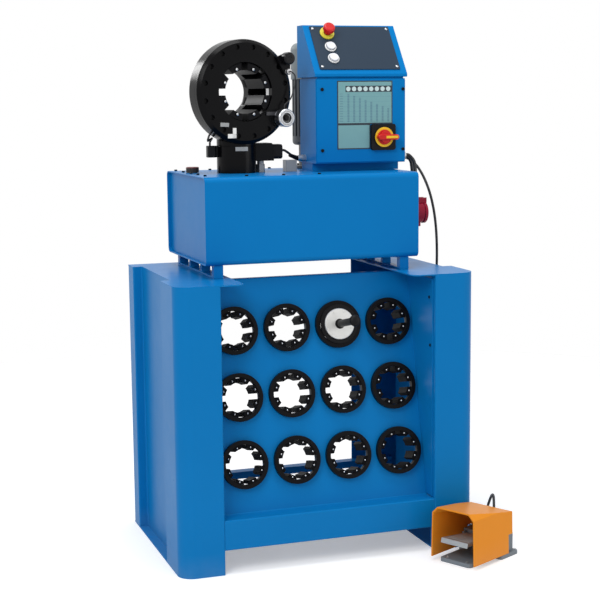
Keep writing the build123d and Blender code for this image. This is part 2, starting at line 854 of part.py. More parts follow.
with BuildPart() as control_hood:
    with BuildSketch(Plane.YZ.offset(box_cx - box_w / 2 - hood_out)):
        with BuildLine():
            Polyline(
                (desk_y0, box_seam_z + hood_gap),
                (desk_y0, desk_z0),
                (desk_y1, hood_top_z),
                (box_rear_y + hood_out, hood_top_z),
                (box_rear_y + hood_out, box_seam_z + hood_gap),
                close=True,
            )
        make_face()
    extrude(amount=box_w + 2 * hood_out)
    fillet(control_hood.edges().filter_by(Axis.X).group_by(Axis.Y)[0], radius=3)
    with BuildSketch(Plane.YZ.offset(box_cx - box_w / 2 - hood_out + box_t)):
        with BuildLine():
            Polyline(
                (desk_y0, box_seam_z + hood_gap),
                (desk_y0, desk_z0),
                (desk_y1, hood_top_z),
                (box_rear_y + hood_out, hood_top_z),
                (box_rear_y + hood_out, box_seam_z + hood_gap),
                close=True,
            )
        make_face()
        offset(amount=-box_t, kind=Kind.INTERSECTION, mode=Mode.REPLACE)
    extrude(amount=box_w + 2 * hood_out - 2 * box_t, mode=Mode.SUBTRACT)
    # rim that carries the hood on the box
    with BuildSketch(Plane.XY.offset(box_seam_z)):
        with Locations((box_cx, (box_front_y + box_rear_y) / 2)):
            Rectangle(box_w - 8, box_rear_y - box_front_y - 8)
            Rectangle(box_w - 16, box_rear_y - box_front_y - 16, mode=Mode.SUBTRACT)
    extrude(amount=hood_gap)
finish(control_hood, "control_hood")

with BuildPart() as box_front_panel:
    with BuildSketch(Plane.XZ.offset(-box_front_y)):
        with Locations((box_cx, (plinth_top + box_seam_z) / 2)):
            RectangleRounded(box_w - 2 * panel_edge + 4, box_seam_z - plinth_top - 2 * panel_edge + 2, 3)
    extrude(amount=panel_t)
finish(box_front_panel, "box_front_panel")

with BuildPart() as desk_plate:
    with BuildSketch(desk):
        with Locations((0, desk_up + desk_h / 2)):
            RectangleRounded(desk_w, desk_h, 3)
    extrude(amount=desk_t)
finish(desk_plate, "desk_plate")

button_u = button_x - box_cx
with BuildPart() as estop_collar:
    with BuildSketch(desk.offset(desk_t)):
        with Locations((button_u, estop_s)):
            Circle(collar_ring_r)
            Circle(estop_stem_r + free_gap, mode=Mode.SUBTRACT)
    extrude(amount=collar_ring_h)
finish(estop_collar, "estop_collar")

estop = Plane(origin=desk.from_local_coords((button_u, estop_s, desk_t)), x_dir=desk.x_dir, z_dir=desk.z_dir)
with BuildPart() as estop_button:
    with BuildSketch(estop.offset(estop_travel + 0.2)):
        Circle(estop_stem_r)
    extrude(amount=collar_ring_h + estop_stem_l - estop_travel - 4)
    with BuildSketch(estop.offset(collar_ring_h + estop_stem_l - 4)):
        Circle(estop_r)
    extrude(amount=estop_cap_h)
    fillet(estop_button.edges().filter_by(GeomType.CIRCLE).group_by(Axis(estop.origin, estop.z_dir))[-1], radius=5)
finish(estop_button, "estop_button")

with BuildPart() as button_bezels:
    with BuildSketch(desk.offset(desk_t)):
        with Locations((button_u, button_1_s), (button_u, button_2_s)):
            Circle(bezel_r)
            Circle(button_r + 0.3, mode=Mode.SUBTRACT)
    extrude(amount=bezel_h)
finish(button_bezels, "button_bezels")

for number, place in enumerate((button_1_s, button_2_s), start=1):
    with BuildPart() as push_button:
        with BuildSketch(desk.offset(desk_t + button_travel + 0.3)):
            with Locations((button_u, place)):
                Circle(button_r)
        extrude(amount=button_h - 3)
        fillet(push_button.faces().sort_by(Axis(desk.origin, desk.z_dir))[-1].edges(), radius=1)
    finish(push_button, f"push_button_{number}")

panel_face = Plane.XZ.offset(-box_front_y + panel_t)
with BuildPart() as switch_base:
    with BuildSketch(panel_face):
        with Locations((switch_x, switch_z)):
            RectangleRounded(switch_w, switch_w, 6)
    extrude(amount=switch_t)
    with BuildSketch(panel_face.offset(switch_t)):
        with Locations((switch_x, switch_z)):
            Circle(switch_disc_r)
    extrude(amount=switch_disc_t)
finish(switch_base, "switch_base")

grip_plane = panel_face.offset(switch_t + switch_disc_t + 0.3)
with BuildPart() as switch_handle:
    with BuildSketch(grip_plane):
        with Locations((switch_x, switch_z)):
            Circle(grip_r)
    extrude(amount=grip_t * 0.6)
    with BuildSketch(grip_plane):
        with Locations((switch_x + grip_l / 2 - grip_r, switch_z)):
            SlotOverall(grip_l + grip_w, grip_w)
    extrude(amount=grip_t)
    fillet(switch_handle.faces().sort_by(Axis.Y)[0].edges(), radius=2)
finish(switch_handle, "switch_handle")

with BuildPart() as motor_bell:
    with BuildSketch(Plane.XY.offset(tank_top)):
        with Locations((motor_x, motor_y)):
            Circle(bell_flange_r)
    extrude(amount=bell_flange_t)
    with BuildSketch(Plane.XY.offset(tank_top + bell_flange_t)):
        with Locations((motor_x, motor_y)):
            Circle(bell_r)
    extrude(amount=motor_z - bell_flange_t)
finish(motor_bell, "motor_bell")

motor_z0 = tank_top + motor_z
with BuildPart() as motor_frame:
    with BuildSketch(Plane.XY.offset(motor_z0)):
        with Locations((motor_x, motor_y)):
            Circle(motor_r)
    extrude(amount=motor_h)
    fillet(motor_frame.faces().sort_by(Axis.Z)[0].edges(), radius=10)
    with BuildSketch(Plane.XY.offset(motor_z0 + 24)):
        with Locations((motor_x, motor_y)):
            with PolarLocations(motor_r, fins):
                Rectangle(2 * fin_depth, 7)
    extrude(amount=motor_h - 24, mode=Mode.SUBTRACT)
finish(motor_frame, "motor_frame")

with BuildPart() as motor_cowl:
    with BuildSketch(Plane.XY.offset(motor_z0 + motor_h)):
        with Locations((motor_x, motor_y)):
            Circle(cowl_r)
    extrude(amount=cowl_h)
    fillet(motor_cowl.faces().sort_by(Axis.Z)[-1].edges(), radius=cowl_round)
finish(motor_cowl, "motor_cowl")

# ================= glands and short leads =================
left_gland = Plane(origin=(box_x0, 66, plinth_top + 12), z_dir=(-1, 0, 0))
rear_gland = Plane(origin=(box_x0 + box_w - 30, box_rear_y, plinth_top + 14), z_dir=(0, 1, 0))
drop_glands = [Plane(origin=(box_x0 + box_w, y, plinth_top + 16), z_dir=(1, 0, 0)) for y in (30, 52)]
with BuildPart() as lead_glands:
    for place in (left_gland, rear_gland, *drop_glands):
        with BuildSketch(place):
            RegularPolygon(gland_r + 1, 6)
        extrude(amount=gland_l / 2)
        with BuildSketch(place.offset(gland_l / 2)):
            Circle(gland_r)
        extrude(amount=gland_l / 2)
finish(lead_glands, "lead_glands")

coil_end = Vector(coil_x + coil_l, foot_y - 6, valve_z0 + 26)
gland_end = left_gland.from_local_coords((0, 0, gland_l))
coil_route = [
    coil_end,
    coil_end + (8, 0, 0),
    coil_end + (19, 6, -6),
    gland_end + (-14, -6, 5),
    gland_end + (-6, 0, 0),
    gland_end,
]
terminal_top = Vector(terminal_x - 3, foot_y, terminal_z0 + terminal_h)
drum_low = head.from_local_coords((-drum_r * cos(radians(50)), -drum_r * sin(radians(50)), -30))
drum_off = head.x_dir * -9 * cos(radians(50)) + head.y_dir * -9 * sin(radians(50))
terminal_route = [
    terminal_top,
    terminal_top + (0, 0, 10),
    terminal_top + (6, -4, 20),
    drum_low + drum_off * 2 + (0, -2, -8),
    drum_low + drum_off,
    drum_low,
]
probe_top = stop_arm_t + probe_l
probe_route = [
    head.from_local_coords((stop_u + 4, stop_v - probe_drop + 4, probe_top)),
    head.from_local_coords((stop_u + 4, stop_v - probe_drop + 4, probe_top + 7)),
    head.from_local_coords((stop_u + 14, stop_v - probe_drop - 4, probe_top + 10)),
    head.from_local_coords((stop_u + 20, stop_v - probe_drop - 28, probe_top + 2)),
    head.from_local_coords((sleeve_u + 16, sleeve_v + sleeve_r + 24, 20)),
    head.from_local_coords((sleeve_u, sleeve_v + sleeve_r + 10, 15)),
    head.from_local_coords((sleeve_u, sleeve_v + sleeve_r + 0.1, 15)),
]
with BuildPart() as head_leads:
    for points, radius in ((coil_route, lead_r + 0.6), (terminal_route, lead_r), (probe_route, lead_r - 0.9)):
        lead, _ = tube(points, bend_radii(points), radius)
        add(lead.part)
finish(head_leads, "head_leads")

with BuildPart() as inlet_leads:
    for place, side in zip(drop_glands, (-1, 1)):
        start = place.from_local_coords((0, 0, gland_l))
        end = inlet.from_local_coords((side * 9, inlet_r - 0.8, inlet_flange_t + 14))
        points = [
            start,
            start + (10, 0, 0),
            start + (inlet_lead_out, -6, -16),
            start + (inlet_lead_out, -16, -inlet_lead_fall),
            end + (8, 10, inlet_lead_rise),
            end + (0, 0, 12),
            end,
        ]
        lead, _ = tube(points, bend_radii(points), lead_r + 1.9)
        add(lead.part)
finish(inlet_leads, "inlet_leads")

# ================= foot pedal =================
with BuildPart() as pedal_base:
    with BuildSketch(pedal):
        with Locations((0, base_front + base_l / 2)):
            RectangleRounded(base_w, base_l, 10)
        with Locations((0, base_front + base_l - base_rear_l / 2)):
            RectangleRounded(base_rear_w, base_rear_l, 8)
    extrude(amount=base_t)
    fillet(pedal_base.faces().sort_by(Axis.Z)[-1].edges(), radius=2)
    with BuildSketch(pedal.offset(base_t)):
        with Locations((0, case_y + case_l / 2)):
            RectangleRounded(case_w, case_l, 6)
    extrude(amount=case_h - base_t)
    fillet(pedal_base.faces().sort_by(Axis.Z)[-1].edges(), radius=3)
    # pivot ears in front of the switch case
    for x in (-lever_w / 2 - ear_t - lever_gap, lever_w / 2 + lever_gap):
        with BuildSketch(pedal.offset(base_t)):
            with Locations((x + ear_t / 2, pivot_y)):
                Rectangle(ear_t, 16)
        extrude(amount=lever_z + 8 - base_t)
    pin_start = pedal.from_local_coords((-lever_w / 2 - ear_t - lever_gap - 1, pivot_y, lever_z))
    with BuildSketch(Plane(origin=pin_start, z_dir=pedal.x_dir)):
        Circle(pivot_r + run_fit)
    extrude(amount=lever_w + 2 * ear_t + 2 * lever_gap + 2, mode=Mode.SUBTRACT)
finish(pedal_base, "pedal_base")

with BuildPart() as pedal_guard:
    section = Plane(origin=pedal.origin, x_dir=pedal.x_dir, z_dir=-pedal.y_dir)
    with BuildSketch(section):
        with BuildLine():
            Polyline(
                (-guard_w / 2 - guard_flare, guard_lift),
                (-guard_w / 2, guard_h - guard_corner),
                (-guard_w / 2 + guard_corner, guard_h),
                (guard_w / 2 - guard_corner, guard_h),
                (guard_w / 2, guard_h - guard_corner),
                (guard_w / 2 + guard_flare, guard_lift),
                close=True,
            )
        make_face()
    extrude(amount=-guard_l)
    # the roof falls to the rear
    roof = Plane(origin=pedal.from_local_coords((0, 0, guard_h)), x_dir=pedal.x_dir,
                 z_dir=pedal.z_dir.rotate(Axis(pedal.origin, pedal.x_dir), -degrees(atan2(guard_drop, guard_l))))
    split(bisect_by=roof, keep=Keep.BOTTOM)
    roof_edges = pedal_guard.faces().sort_by(Axis.Z)[-1].edges().sort_by(Axis(pedal.origin, pedal.x_dir))
    fillet(roof_edges[-1], radius=4)
    hollow_l = guard_l - guard_t
    with BuildSketch(section):
        with BuildLine():
            Polyline(
                (-guard_w / 2 - guard_flare + guard_t, 0),
                (-guard_w / 2 + guard_t, guard_h - guard_drop - guard_corner - guard_t / 2),
                (-guard_w / 2 + guard_corner + guard_t / 2, guard_h - guard_drop - guard_t),
                (guard_w / 2 - guard_corner - guard_t / 2, guard_h - guard_drop - guard_t),
                (guard_w / 2 - guard_t, guard_h - guard_drop - guard_corner - guard_t / 2),
                (guard_w / 2 + guard_flare - guard_t, 0),
                close=True,
            )
        make_face()
    extrude(amount=-hollow_l, mode=Mode.SUBTRACT)
    # walls and rear are cut back over the switch case
    with BuildSketch(pedal):
        with Locations((0, guard_side_l + guard_l / 2)):
            Rectangle(2 * guard_w, guard_l)
    extrude(amount=case_h, mode=Mode.SUBTRACT)
finish(pedal_guard, "pedal_guard")

lever_hinge = Plane(origin=pedal.from_local_coords((0, pivot_y, lever_z)), x_dir=pedal.x_dir, z_dir=pedal.z_dir)
lever_side = Plane(origin=lever_hinge.from_local_coords((-lever_w / 2, 0, 0)), x_dir=pedal.y_dir, z_dir=pedal.x_dir)
rise = radians(lever_rest)
with BuildPart() as pedal_lever:
    with BuildSketch(lever_side):
        with BuildLine():
            Polyline(
                (7, -lever_t / 2),
                (7, lever_t / 2),
                (-lever_l * cos(rise), lever_l * sin(rise) + lever_t / 2),
                (-lever_l * cos(rise) - 4, lever_l * sin(rise) - lever_t),
                (-lever_l * cos(rise) + 4, lever_l * sin(rise) - lever_t / 2),
                close=True,
            )
        make_face()
    extrude(amount=lever_w)
    with BuildSketch(lever_side):
        Circle(pivot_r + run_fit)
    extrude(amount=lever_w, mode=Mode.SUBTRACT)
finish(pedal_lever, "pedal_lever")

with BuildPart() as pedal_pin:
    with BuildSketch(Plane(origin=pin_start, z_dir=pedal.x_dir)):
        Circle(pivot_r)
    extrude(amount=lever_w + 2 * ear_t + 2 * lever_gap + 2)
finish(pedal_pin, "pedal_pin")

gland_y = guard_l + gland_r + 3
with BuildPart() as pedal_gland:
    with BuildSketch(Plane(origin=pedal.from_local_coords((0, gland_y, case_h)), x_dir=pedal.x_dir, z_dir=(0, 0, 1))):
        Circle(gland_r - 1)
    extrude(amount=gland_l - 4)
finish(pedal_gland, "pedal_gland")

# ================= pedal cable =================
pedal_exit = pedal.from_local_coords((0, gland_y, case_h + gland_l - 4))
box_exit = rear_gland.from_local_coords((0, 0, gland_l))
cable_points = [
    pedal_exit,
    pedal_exit + (0.5, 0, 30),
    pedal_exit + (8, 16, 54),
    pedal_exit + (20, 46, 58),
    pedal_exit + (28, 78, 34),
    pedal_exit + (29, 100, -4),
    pedal_exit + (26, 126, -40),
    (453, -150, 14),
    (446, -106, 4.4),
    (436, -62, 4.4),
    (420, -27, 8),
    (406, -6, 28),
    (403, 2, 72),
    (403.8, 3, 140),
    (402.8, 1.6, 222),
    (404.4, 2.8, 310),
    (403.2, 1.2, 402),
    (404.2, 2.9, 495),
    (403, 1.6, 588),
    (403.4, 3.8, 676),
    (404.8, 2.4, 756),
    (401, 5, 832),
    (391, 12, 896),
    (378, 26, 944),
    (367, 52, 978),
    (362, 88, 994),
    (357, 128, 1000),
    (341, 163, 1003),
    box_exit + (42, 54, -2),
    box_exit + (14, 54, 0),
    box_exit + (0, 28, 0),
    box_exit,
]
radii = bend_radii([tuple(point) for point in cable_points])
pedal_cable, cable_length = tube(cable_points, radii, cable_r)
finish(pedal_cable, "pedal_cable")
print("cable radii", [round(radius) for radius in radii], "length", round(cable_length))
print("cable volume", round(pedal_cable.part.volume / (3.14159265 * cable_r**2 * cable_length), 4))
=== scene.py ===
"""Hose crimping machine on a die cabinet, with a foot pedal, dressed over its frame.

The scene is in metres. Lengths written here are in millimetres, apart from the studio's.
The operator's side is -Y and up is +Z.
"""
from __future__ import annotations

import json
import logging
from contextlib import contextmanager
from dataclasses import dataclass
from enum import Enum
from functools import partial
from math import atan2, cos, radians, sin
from typing import Callable, Iterator, Mapping, Sequence, Union

import bmesh
import bpy
from mathutils import Matrix, Vector

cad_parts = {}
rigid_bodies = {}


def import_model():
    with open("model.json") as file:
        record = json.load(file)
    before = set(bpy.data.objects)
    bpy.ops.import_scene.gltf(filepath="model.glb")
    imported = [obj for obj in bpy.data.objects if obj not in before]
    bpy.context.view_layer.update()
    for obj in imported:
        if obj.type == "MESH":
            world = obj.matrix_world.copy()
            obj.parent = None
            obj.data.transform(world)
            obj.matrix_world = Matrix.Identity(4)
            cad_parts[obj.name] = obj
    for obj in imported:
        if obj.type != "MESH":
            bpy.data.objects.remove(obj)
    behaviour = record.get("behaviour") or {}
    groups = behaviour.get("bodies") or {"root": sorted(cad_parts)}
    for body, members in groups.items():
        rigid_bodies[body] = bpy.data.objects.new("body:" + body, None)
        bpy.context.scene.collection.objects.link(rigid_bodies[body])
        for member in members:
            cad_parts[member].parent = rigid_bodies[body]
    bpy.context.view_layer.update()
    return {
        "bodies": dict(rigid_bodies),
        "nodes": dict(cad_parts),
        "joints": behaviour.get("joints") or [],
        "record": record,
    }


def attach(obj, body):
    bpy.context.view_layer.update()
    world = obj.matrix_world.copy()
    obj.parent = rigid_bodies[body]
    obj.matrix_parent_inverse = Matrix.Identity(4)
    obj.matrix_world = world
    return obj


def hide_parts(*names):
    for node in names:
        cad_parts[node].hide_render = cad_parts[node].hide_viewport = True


LOG = logging.getLogger("crimper")
MM = 0.001

FIRST_DIE = 22.5  # degrees from the right-hand direction to the first of eight dies
HEXAGON = 0.866  # a socket's half width across its flats as a share of that across its corners

Colour = tuple[float, float, float]
Point = tuple[float, float, float]
Spot = tuple[float, float]
Number = Union[int, float, "Wire"]
Piece = bpy.types.Object


# ---------------------------------------------------------------- shader maths


def operator(operation: str, swapped: bool = False) -> Callable[..., "Wire"]:
    """Makes a method of Wire that adds one Math node.

    Args:
        operation: The node's operation.
        swapped: Whether the other value comes first.

    Returns:
        The method.
    """

    def operate(wire: "Wire", other: Number = 0.0) -> "Wire":
        """Returns the operation's result."""
        first, second = (other, wire) if swapped else (wire, other)
        return wire.graph.node("ShaderNodeMath", {"operation": operation}, {0: first, 1: second})

    return operate


class Wire:
    """One output of a graph's nodes, used as a number in ordinary arithmetic."""

    def __init__(self, graph: "Graph", socket: bpy.types.NodeSocket) -> None:
        """Keeps the socket and the graph it belongs to."""
        self.graph = graph
        self.socket = socket

    __add__ = __radd__ = operator("ADD")
    __sub__ = operator("SUBTRACT")
    __rsub__ = operator("SUBTRACT", swapped=True)
    __mul__ = __rmul__ = operator("MULTIPLY")
    __truediv__ = operator("DIVIDE")
    __lt__ = operator("LESS_THAN")
    __gt__ = operator("GREATER_THAN")
    __mod__ = operator("FLOORED_MODULO")
    __abs__ = operator("ABSOLUTE")
    floor = operator("FLOOR")
    root = operator("SQRT")
    larger = operator("MAXIMUM")

    def between(self, low: float, high: float) -> "Wire":
        """Returns 1 from low to high, and 0 outside."""
        return (self > low) * (self < high)

    def sibling(self, output: int | str) -> "Wire":
        """Returns another output of the same node."""
        return Wire(self.graph, self.socket.node.outputs[output])


class Graph:
    """A node tree that is filled node by node."""

    def __init__(self, tree: bpy.types.NodeTree) -> None:
        """Empties the tree."""
        self.tree = tree
        tree.nodes.clear()

    def feed(self, socket: bpy.types.NodeSocket, value: object) -> None:
        """Links a wire to a socket, or writes a plain value on it.

        Args:
            socket: The input to fill.
            value: A wire, a number or a colour.
        """
        if isinstance(value, Wire):
            self.tree.links.new(value.socket, socket)
        elif isinstance(value, tuple) and socket.type == "RGBA":
            socket.default_value = (*value, 1.0)
        else:
            socket.default_value = value

    def node(
        self,
        kind: str,
        settings: Mapping[str, object] | None = None,
        inputs: Mapping[int | str, object] | None = None,
        output: int | str = 0,
    ) -> Wire:
        """Adds one node.

        Args:
            kind: The node's type.
            settings: Its own settings, set first.
            inputs: Values or wires for its sockets.
            output: The output that is returned.

        Returns:
            The chosen output.
        """
        item = self.tree.nodes.new(kind)
        for name, value in (settings or {}).items():
            setattr(item, name, value)
        for name, value in (inputs or {}).items():
            self.feed(item.inputs[name], value)
        return Wire(self, item.outputs[output])


class Shader(Graph):
    """A material's nodes around one Principled surface."""

    def __init__(self, name: str) -> None:
        """Makes the material with its Principled surface and output."""
        self.material = bpy.data.materials.new(name)
        self.material.use_nodes = True
        super().__init__(self.material.node_tree)
        self.surface = self.tree.nodes.new("ShaderNodeBsdfPrincipled")
        self.output = self.tree.nodes.new("ShaderNodeOutputMaterial")
        self.tree.links.new(self.surface.outputs[0], self.output.inputs["Surface"])

    def place(self) -> Wire:
        """Returns the surface point in the machine's own coordinates."""
        return self.node("ShaderNodeTexCoord", output="Object")

    def axes(self) -> tuple[Wire, Wire, Wire]:
        """Returns the surface point's three coordinates in millimetres."""
        split = self.node("ShaderNodeSeparateXYZ", inputs={0: self.place()})
        return tuple(split.sibling(axis) * (1 / MM) for axis in range(3))

    def noise(self, size_mm: float, detail: float = 3.0, stretch: Point = (1.0, 1.0, 1.0)) -> Wire:
        """Returns a noise between 0 and 1.

        Args:
            size_mm: The size of one patch.
            detail: How many finer layers it has.
            stretch: How much finer it is along each axis.
        """
        place = self.node("ShaderNodeMapping", inputs={0: self.place(), "Scale": stretch})
        scale = 1 / (size_mm * MM)
        inputs = {"Vector": place, "Scale": scale, "Detail": detail, "Roughness": 0.55}
        return self.node("ShaderNodeTexNoise", inputs=inputs)

    def blend(self, amount: Number, first: object, second: object) -> Wire:
        """Returns a colour from the first to the second by an amount from 0 to 1."""
        inputs = {0: amount, 6: first, 7: second}
        return self.node("ShaderNodeMix", {"data_type": "RGBA"}, inputs, output=2)

    def bump(self, height: Wire, depth_mm: float) -> None:
        """Raises the surface by a height from 0 to 1 times a depth."""
        inputs = {"Distance": depth_mm * MM, "Height": height}
        self.set("Normal", self.node("ShaderNodeBump", inputs=inputs))

    def set(self, name: str, value: object) -> None:
        """Fills one socket of the surface."""
        self.feed(self.surface.inputs[name], value)


# -------------------------------------------------------------------- finishes


def shade(colour: Colour, factor: float) -> Colour:
    """Returns the colour made lighter or darker."""
    return tuple(min(1.0, channel * factor) for channel in colour)


@dataclass(frozen=True)
class Finish:
    """A surface that several pieces share."""

    name: str
    colour: Colour

    def dress(self, shader: Shader) -> None:
        """Sets the shader's sockets."""
        shader.set("Base Color", self.colour)

    def mottled(self, shader: Shader, patches: Wire, amount: float) -> Wire:
        """Returns the colour made darker and lighter in patches."""
        dark, light = (shade(self.colour, factor) for factor in (1 - amount, 1 + amount))
        return shader.blend(patches, dark, light)

    def material(self) -> bpy.types.Material:
        """Returns this finish's material, made once."""
        known = bpy.data.materials.get(self.name)
        if known is None:
            shader = Shader(self.name)
            self.dress(shader)
            known = shader.material
            known.diffuse_color = (*self.colour, 1.0)
        return known


@dataclass(frozen=True)
class Enamel(Finish):
    """Sprayed gloss paint on steel, with a little orange peel."""

    roughness: float = 0.30
    peel: float = 0.014
    mottle: float = 0.05
    specular: float = 0.07
    dust_height: float = 60.0
    dust_tone: Colour = (0.50, 0.49, 0.47)

    def dress(self, shader: Shader) -> None:
        """Varies tone in broad patches, gloss in smaller ones, and dusts the lowest part."""
        broad = shader.noise(240.0, 2.0)
        fine = shader.noise(38.0, 4.0)
        tone = self.mottled(shader, broad, self.mottle)
        _, _, height = shader.axes()
        dust = (height < self.dust_height) * (1 - height / self.dust_height) * fine * 0.10
        shader.set("Base Color", shader.blend(dust, tone, self.dust_tone))
        shader.set("Roughness", fine * 0.10 + (self.roughness - 0.05))
        shader.set("Specular IOR Level", self.specular)
        shader.bump(shader.noise(2.2, 2.0), self.peel)


@dataclass(frozen=True)
class Steel(Finish):
    """Bare or blackened metal with fine tool marks."""

    roughness: float = 0.30
    metallic: float = 1.0
    marks: Point = (1.0, 1.0, 12.0)
    depth: float = 0.03
    patina: float = 0.12
    specular: float = 0.5

    def dress(self, shader: Shader) -> None:
        """Lays fine lines in the roughness and relief, with a cloudy tone."""
        cloud = shader.noise(30.0, 4.0)
        lines = shader.noise(5.0, 3.0, self.marks)
        shader.set("Base Color", self.mottled(shader, cloud, self.patina))
        shader.set("Metallic", self.metallic)
        shader.set("Specular IOR Level", self.specular)
        shader.set("Roughness", lines * 0.18 + cloud * 0.08 + (self.roughness - 0.12))
        shader.bump(lines, self.depth)


@dataclass(frozen=True)
class RingedSteel(Steel):
    """A round bright end on a blackened arm, told apart by its radius."""

    centre: Point = (0.0, 0.0, 0.0)
    turn: float = 0.0
    ring_radius: float = 23.6
    arm: Colour = (0.030, 0.030, 0.034)
    arm_metallic: float = 0.4

    def dress(self, shader: Shader) -> None:
        """Darkens what lies further out than the ring."""
        super().dress(shader)
        x, y, z = shader.axes()
        angle = radians(self.turn)
        across = (x - self.centre[0]) * cos(angle) + (y - self.centre[1]) * sin(angle)
        up = z - self.centre[2]
        ring = (across * across + up * up) < self.ring_radius**2
        shader.set("Base Color", shader.blend(ring, self.arm, self.colour))
        shader.set("Metallic", ring * (self.metallic - self.arm_metallic) + self.arm_metallic)


@dataclass(frozen=True)
class Moulding(Finish):
    """Moulded plastic with the fine grain of its tool."""

    roughness: float = 0.42
    grain: float = 0.03
    specular: float = 0.3

    def dress(self, shader: Shader) -> None:
        """Adds a spark-eroded grain and a slight change of gloss."""
        cloud = shader.noise(18.0, 2.0)
        tone = shader.blend(cloud, shade(self.colour, 0.94), shade(self.colour, 1.05))
        shader.set("Base Color", tone)
        shader.set("Roughness", cloud * 0.08 + (self.roughness - 0.04))
        shader.set("Specular IOR Level", self.specular)
        shader.bump(shader.noise(0.7, 2.0), self.grain)


@dataclass(frozen=True)
class Sheath(Finish):
    """A cable's soft black sheath, dull with a trace of dust."""

    def dress(self, shader: Shader) -> None:
        """Adds dust in patches and a fine drawn surface."""
        dust = shader.noise(60.0, 4.0)
        shader.set("Base Color", shader.blend(dust, self.colour, shade(self.colour, 1.8)))
        shader.set("Roughness", dust * 0.15 + 0.42)
        shader.bump(shader.noise(1.2, 2.0), 0.03)


@dataclass(frozen=True)
class TwoTone(Finish):
    """A moulding whose upper part, above a height, is of another colour."""

    upper: Colour = (1.0, 1.0, 1.0)
    level_mm: float = 0.0

    def dress(self, shader: Shader) -> None:
        """Switches colour at the level."""
        _, _, height = shader.axes()
        grain = shader.noise(0.8, 2.0)
        shader.set("Base Color", shader.blend(height > self.level_mm, self.colour, self.upper))
        shader.set("Roughness", grain * 0.1 + 0.35)
        shader.bump(grain, 0.03)


@dataclass(frozen=True)
class BarePlate(Finish):
    """A printed plate with a dark border and nothing on it."""

    left: float = 0.0
    right: float = 1.0
    low: float = 0.0
    high: float = 1.0
    rim: float = 2.8
    ink: Colour = (0.008, 0.020, 0.032)

    def printed(self, shader: Shader, across: Wire, up: Wire, paper: Wire) -> Wire:
        """Returns what lies within the border."""
        return paper

    def dress(self, shader: Shader) -> None:
        """Prints the border round the face."""
        across, _, up = shader.axes()
        inside = across.between(self.left + self.rim, self.right - self.rim)
        inside = inside * up.between(self.low + self.rim, self.high - self.rim)
        cloud = shader.noise(25.0, 2.0)
        face = self.printed(shader, across, up, self.mottled(shader, cloud, 0.04))
        shader.set("Base Color", shader.blend(inside, self.ink, face))
        shader.set("Roughness", cloud * 0.06 + 0.34)


@dataclass(frozen=True)
class SettingChart(BarePlate):
    """A printed table of bars under a dark heading with light spots, without any words."""

    columns: int = 8
    first_column: float = 23.0
    right_margin: float = 4.0
    foot_margin: float = 6.0
    heading_top: float = 13.0  # both measured down from the plate's upper edge
    heading_foot: float = 29.0
    heading_gap: float = 4.0
    column_drop: float = 5.5
    spot_radius: float = 6.0
    bar_half: float = 2.8

    def printed(self, shader: Shader, across: Wire, up: Wire, paper: Wire) -> Wire:
        """Returns the heading, spots, bars and rules on the paper."""
        first = self.left + self.first_column
        pitch = (self.right - self.right_margin - first) / self.columns
        top, foot = self.high - self.heading_top, self.high - self.heading_foot
        beside = across > first
        heading = up.between(foot, top) * across.between(first, self.right)
        cell = (across - first) % pitch - pitch / 2
        spot_u = cell / self.spot_radius
        spot_v = (up - (foot + top) / 2) / self.spot_radius
        spot = (spot_u * spot_u + spot_v * spot_v < 1.0) * beside
        drop = ((across - first) / pitch).floor() * self.column_drop
        above = up > self.low + self.foot_margin
        table = foot - self.heading_gap
        bar = (abs(cell) < self.bar_half) * beside * (up < table - drop) * above
        bar = bar * ((up % 4.0) < 3.0)
        scale = across.between(self.left + 7.0, self.left + 16.0) * (up < table)
        scale = scale * above * ((up % 6.4) < 2.6)
        rule = above * (up < foot - 3.0) * ((up % 12.8) < 0.9)
        face = shader.blend(rule * 0.35, paper, (0.07, 0.17, 0.26))
        face = shader.blend(bar * 0.62 + scale * 0.45, face, (0.05, 0.13, 0.20))
        face = shader.blend(heading, face, self.ink)
        return shader.blend(heading * spot, face, (0.52, 0.66, 0.66))


